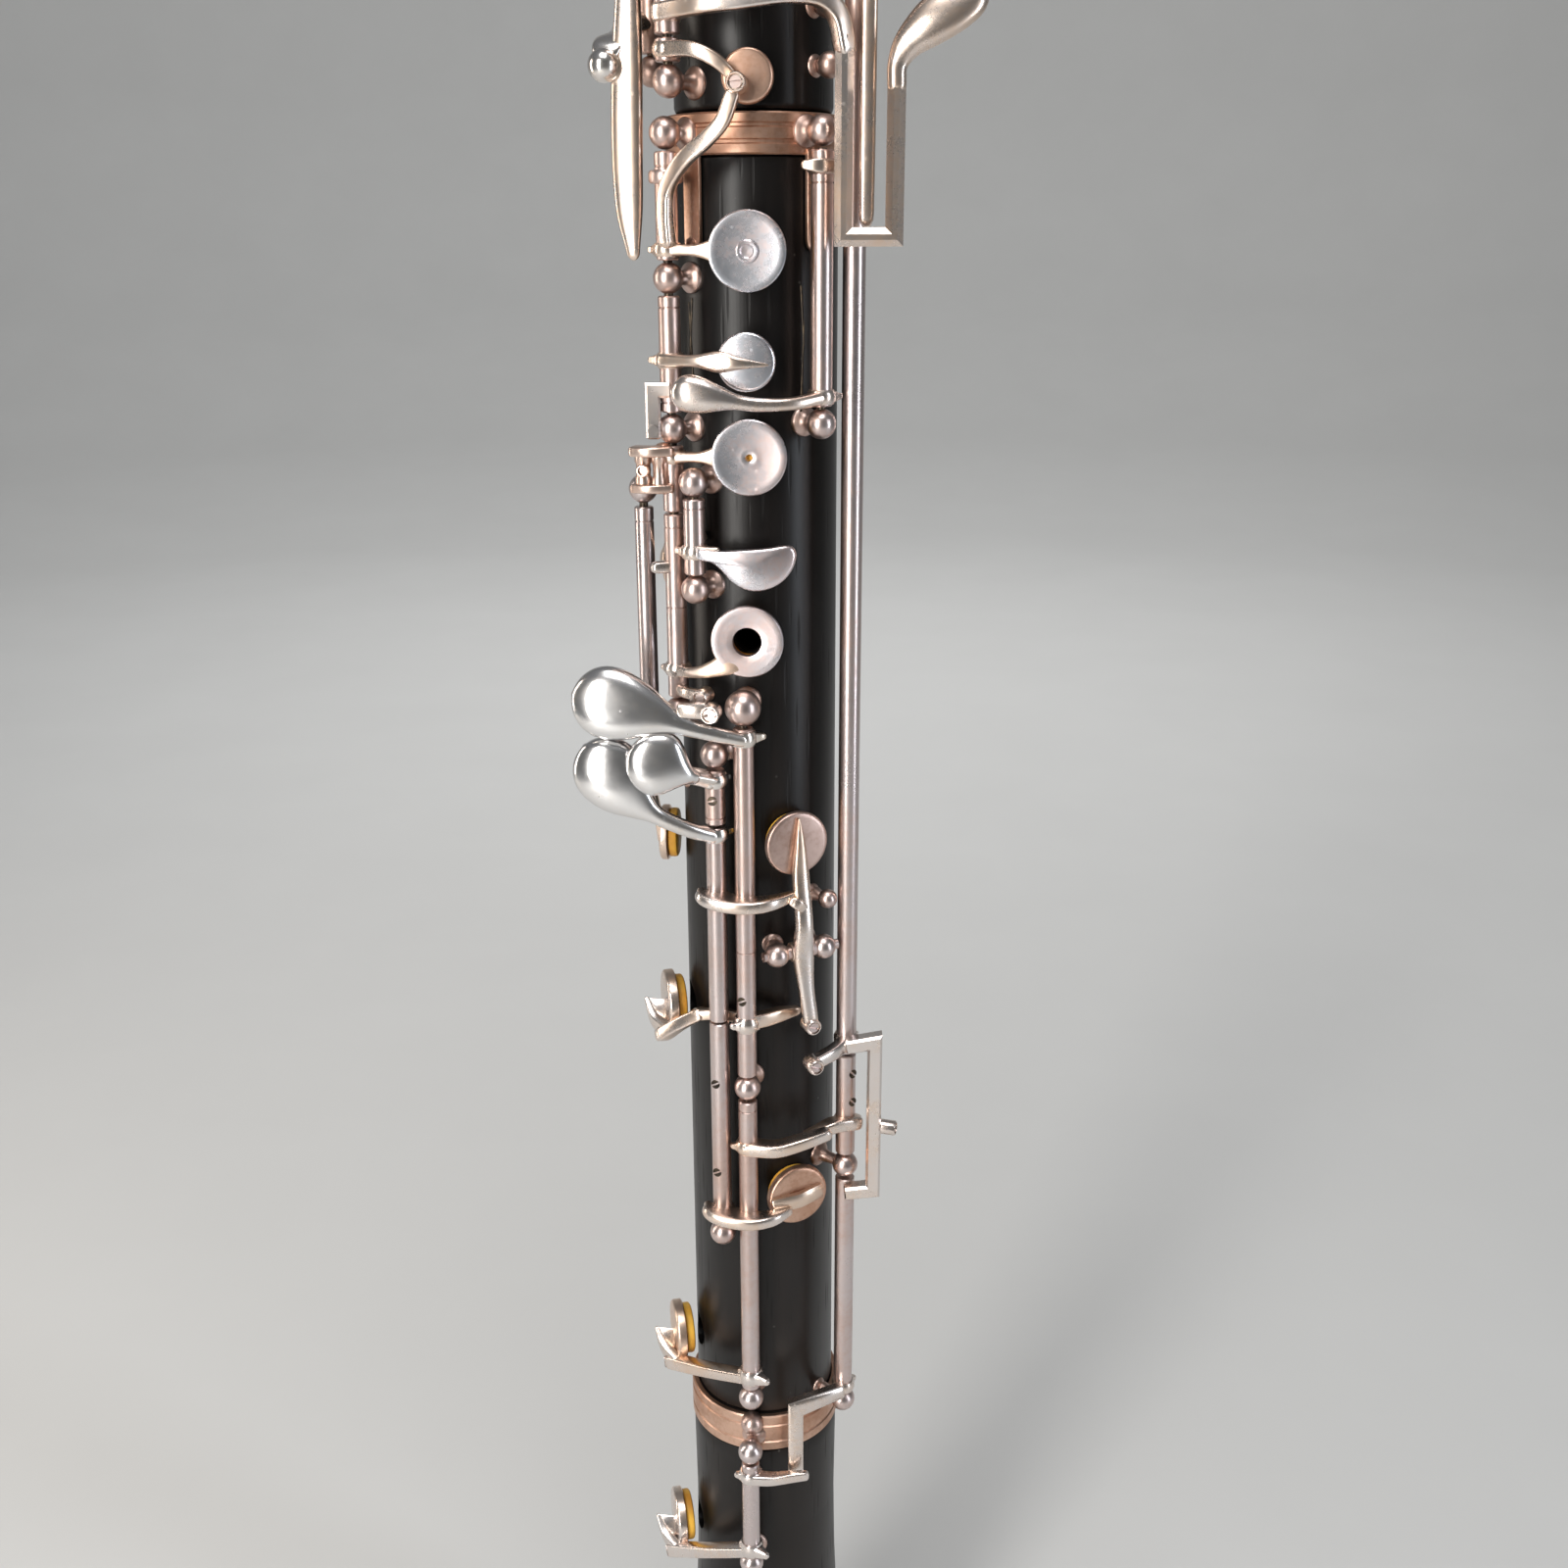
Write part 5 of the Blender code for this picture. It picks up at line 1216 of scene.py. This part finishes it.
# --- screws and pins ------------------------------------------------------------------------------
def fixing_tree(name, finish):
    """Puts one slotted head on each point, sized and turned by the point's own radius and way."""
    tree = bpy.data.node_groups.new(name, "GeometryNodeTree")
    tree.interface.new_socket("Geometry", in_out="INPUT", socket_type="NodeSocketGeometry")
    sizes = {}
    for label, usual in (("Head height", 0.5), ("Slot width", 0.42), ("Slot depth", 1.1)):
        socket = tree.interface.new_socket(label, in_out="INPUT", socket_type="NodeSocketFloat")
        socket.default_value = usual
        sizes[label] = socket.identifier
    tree.interface.new_socket("Geometry", in_out="OUTPUT", socket_type="NodeSocketGeometry")

    def node(kind, settings=None, sockets=None):
        made = tree.nodes.new(kind)
        for label, value in (settings or {}).items():
            setattr(made, label, value)
        for label, value in (sockets or {}).items():
            if isinstance(value, bpy.types.NodeSocket):
                tree.links.new(value, made.inputs[label])
            else:
                made.inputs[label].default_value = value
        return made

    given = node("NodeGroupInput").outputs
    head = node("GeometryNodeMeshCylinder", {"fill_type": "TRIANGLE_FAN"},
                {"Vertices": 28, "Radius": 1.0, "Depth": given["Head height"]})
    size = node("ShaderNodeCombineXYZ", None, {"X": 3.0, "Y": given["Slot width"], "Z": given["Slot depth"]})
    lift = node("ShaderNodeMath", {"operation": "MULTIPLY"}, {0: given["Head height"], 1: 0.5})
    spot = node("ShaderNodeCombineXYZ", None, {"Z": lift.outputs[0]})
    slot = node("GeometryNodeMeshCube", None, {"Size": size.outputs[0]})
    moved = node("GeometryNodeTransform", None,
                 {"Geometry": slot.outputs["Mesh"], "Translation": spot.outputs[0]})
    cut = node("GeometryNodeMeshBoolean", {"operation": "DIFFERENCE", "solver": "EXACT"},
               {0: head.outputs["Mesh"]})
    tree.links.new(moved.outputs[0], cut.inputs[1])
    way = node("GeometryNodeInputNamedAttribute", {"data_type": "FLOAT_VECTOR"}, {"Name": "way"})
    radius = node("GeometryNodeInputNamedAttribute", {"data_type": "FLOAT"}, {"Name": "radius"})
    turn = node("FunctionNodeAlignRotationToVector", {"axis": "Z"}, {"Vector": way.outputs["Attribute"]})
    heads = node("GeometryNodeInstanceOnPoints", None,
                 {"Points": given["Geometry"], "Instance": cut.outputs[0], "Rotation": turn.outputs[0],
                  "Scale": radius.outputs["Attribute"]})
    real = node("GeometryNodeRealizeInstances", None, {"Geometry": heads.outputs[0]})
    dressed = node("GeometryNodeSetMaterial", None, {"Geometry": real.outputs[0], "Material": finish})
    node("NodeGroupOutput", None, {0: dressed.outputs[0]})
    return tree, sizes


def fixings(kind, rows, finish, height):
    tree, sizes = fixing_tree(kind, finish)
    for body, spots in sorted(rows.items()):
        mesh = bpy.data.meshes.new(kind)
        mesh.from_pydata([tuple(spot * MM) for spot, _, _ in spots], [], [])
        mesh.attributes.new("way", "FLOAT_VECTOR", "POINT").data.foreach_set(
            "vector", np.array([way for _, way, _ in spots], np.float32).ravel())
        mesh.attributes.new("radius", "FLOAT", "POINT").data.foreach_set(
            "value", np.array([radius * MM for _, _, radius in spots], np.float32))
        maker = bpy.data.objects.new(kind, mesh)
        bpy.context.scene.collection.objects.link(maker)
        nodes = maker.modifiers.new("heads", "NODES")
        nodes.node_group = tree
        nodes[sizes["Head height"]] = height
        made = bpy.data.meshes.new_from_object(maker.evaluated_get(bpy.context.evaluated_depsgraph_get()))
        bpy.data.objects.remove(maker)
        made.shade_smooth()
        made.set_sharp_from_angle(angle=math.radians(35))
        done = bpy.data.objects.new(f"{kind}_{body}", made)
        bpy.context.scene.collection.objects.link(done)
        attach(done, body)


# --- studio ---------------------------------------------------------------------------------------
def backdrop():
    """A pale floor that sweeps up on every side."""
    finish = Finish("studio_paper")
    weave = finish.noise(9.0, 3.0, 0.6)
    finish.bump(weave, 0.05, 0.001)
    finish.look(Base_Color=finish.mix(weave, (0.62, 0.62, 0.61), (0.66, 0.66, 0.65)),
                Roughness=weave * 0.1 + 0.8)
    profile = [(0.02, 0.0), (600, 0.0), (1700, 0.0), (2200, 60), (2600, 240), (2900, 600), (3000, 1100),
               (3000, 2600)]
    turns = np.linspace(0, 2 * math.pi, 96, endpoint=False)
    points = [(r * math.cos(t) * MM, r * math.sin(t) * MM, z * MM) for r, z in profile for t in turns]
    faces = [(row * 96 + step, row * 96 + (step + 1) % 96, (row + 1) * 96 + (step + 1) % 96,
              (row + 1) * 96 + step) for row in range(len(profile) - 1) for step in range(96)]
    mesh = bpy.data.meshes.new("studio_floor")
    mesh.from_pydata(points, [], faces)
    mesh.materials.append(finish.material)
    mesh.shade_smooth()
    floor = bpy.data.objects.new("studio_floor", mesh)
    bpy.context.scene.collection.objects.link(floor)


def lamp(name, place, power, width, height, colour=(1, 1, 1), aim=(0, 0, 0.26)):
    data = bpy.data.lights.new(name, "AREA")
    data.shape, data.size, data.size_y = "RECTANGLE", width, height
    data.energy, data.color = power, colour
    made = bpy.data.objects.new(name, data)
    bpy.context.scene.collection.objects.link(made)
    made.location = place
    made.rotation_mode = "QUATERNION"
    made.rotation_quaternion = (Vector(aim) - Vector(place)).to_track_quat("-Z", "Y")
    made.visible_camera = False


def studio():
    backdrop()
    lamp("key_light", (-0.34, -0.57, 0.40), 4.4, 0.14, 0.66, (1.0, 0.97, 0.93))
    lamp("fill_light", (0.62, -0.34, 0.34), 1.6, 0.10, 0.60, (0.86, 0.92, 1.0))
    lamp("left_light", (-0.66, 0.05, 0.36), 1.4, 0.10, 0.60, (1.0, 0.90, 0.80))
    lamp("top_light", (0.0, -0.35, 1.25), 6.0, 0.5, 0.5)
    lamp("wall_light", (0.0, 0.7, 1.3), 16.0, 0.8, 0.4, aim=(0, 2.4, 0.3))
    world = bpy.data.worlds.new("studio")
    world.use_nodes = True
    world.node_tree.nodes["Background"].inputs["Color"].default_value = (0.80, 0.82, 0.85, 1)
    world.node_tree.nodes["Background"].inputs["Strength"].default_value = 0.2
    bpy.context.scene.world = world
    bpy.context.scene.view_settings.view_transform = "Standard"

    lens = bpy.data.cameras.new("camera")
    lens.lens, lens.sensor_width = LENS_MM, 36.0
    lens.clip_start = 0.01
    camera = bpy.data.objects.new("camera", lens)
    bpy.context.scene.collection.objects.link(camera)
    look = Vector((0.0, math.cos(TILT), -math.sin(TILT)))
    camera.location = AIM - look * AIM_DISTANCE
    camera.rotation_mode = "QUATERNION"
    camera.rotation_quaternion = look.to_track_quat("-Z", "Y") @ Quaternion((0, 0, 1), ROLL)
    bpy.context.scene.camera = camera


def main():
    for make in (bell, lower_joint, upper_joint, rings, posts, lever_posts, seesaw_posts, thumb_rest,
                 f_sharp_keys, e_and_d_keys, f_and_trill_keys, low_keys, rod_b_keys, seesaw, rod_d_levers,
                 side_vent, upper_keys, octave_and_shake_keys):
        make()
    fixings("adjusting_screws", screws, ROD_SILVER, 1.3)
    fixings("rod_pins", pins, DARK_STEEL, 0.5)
    studio()


main()
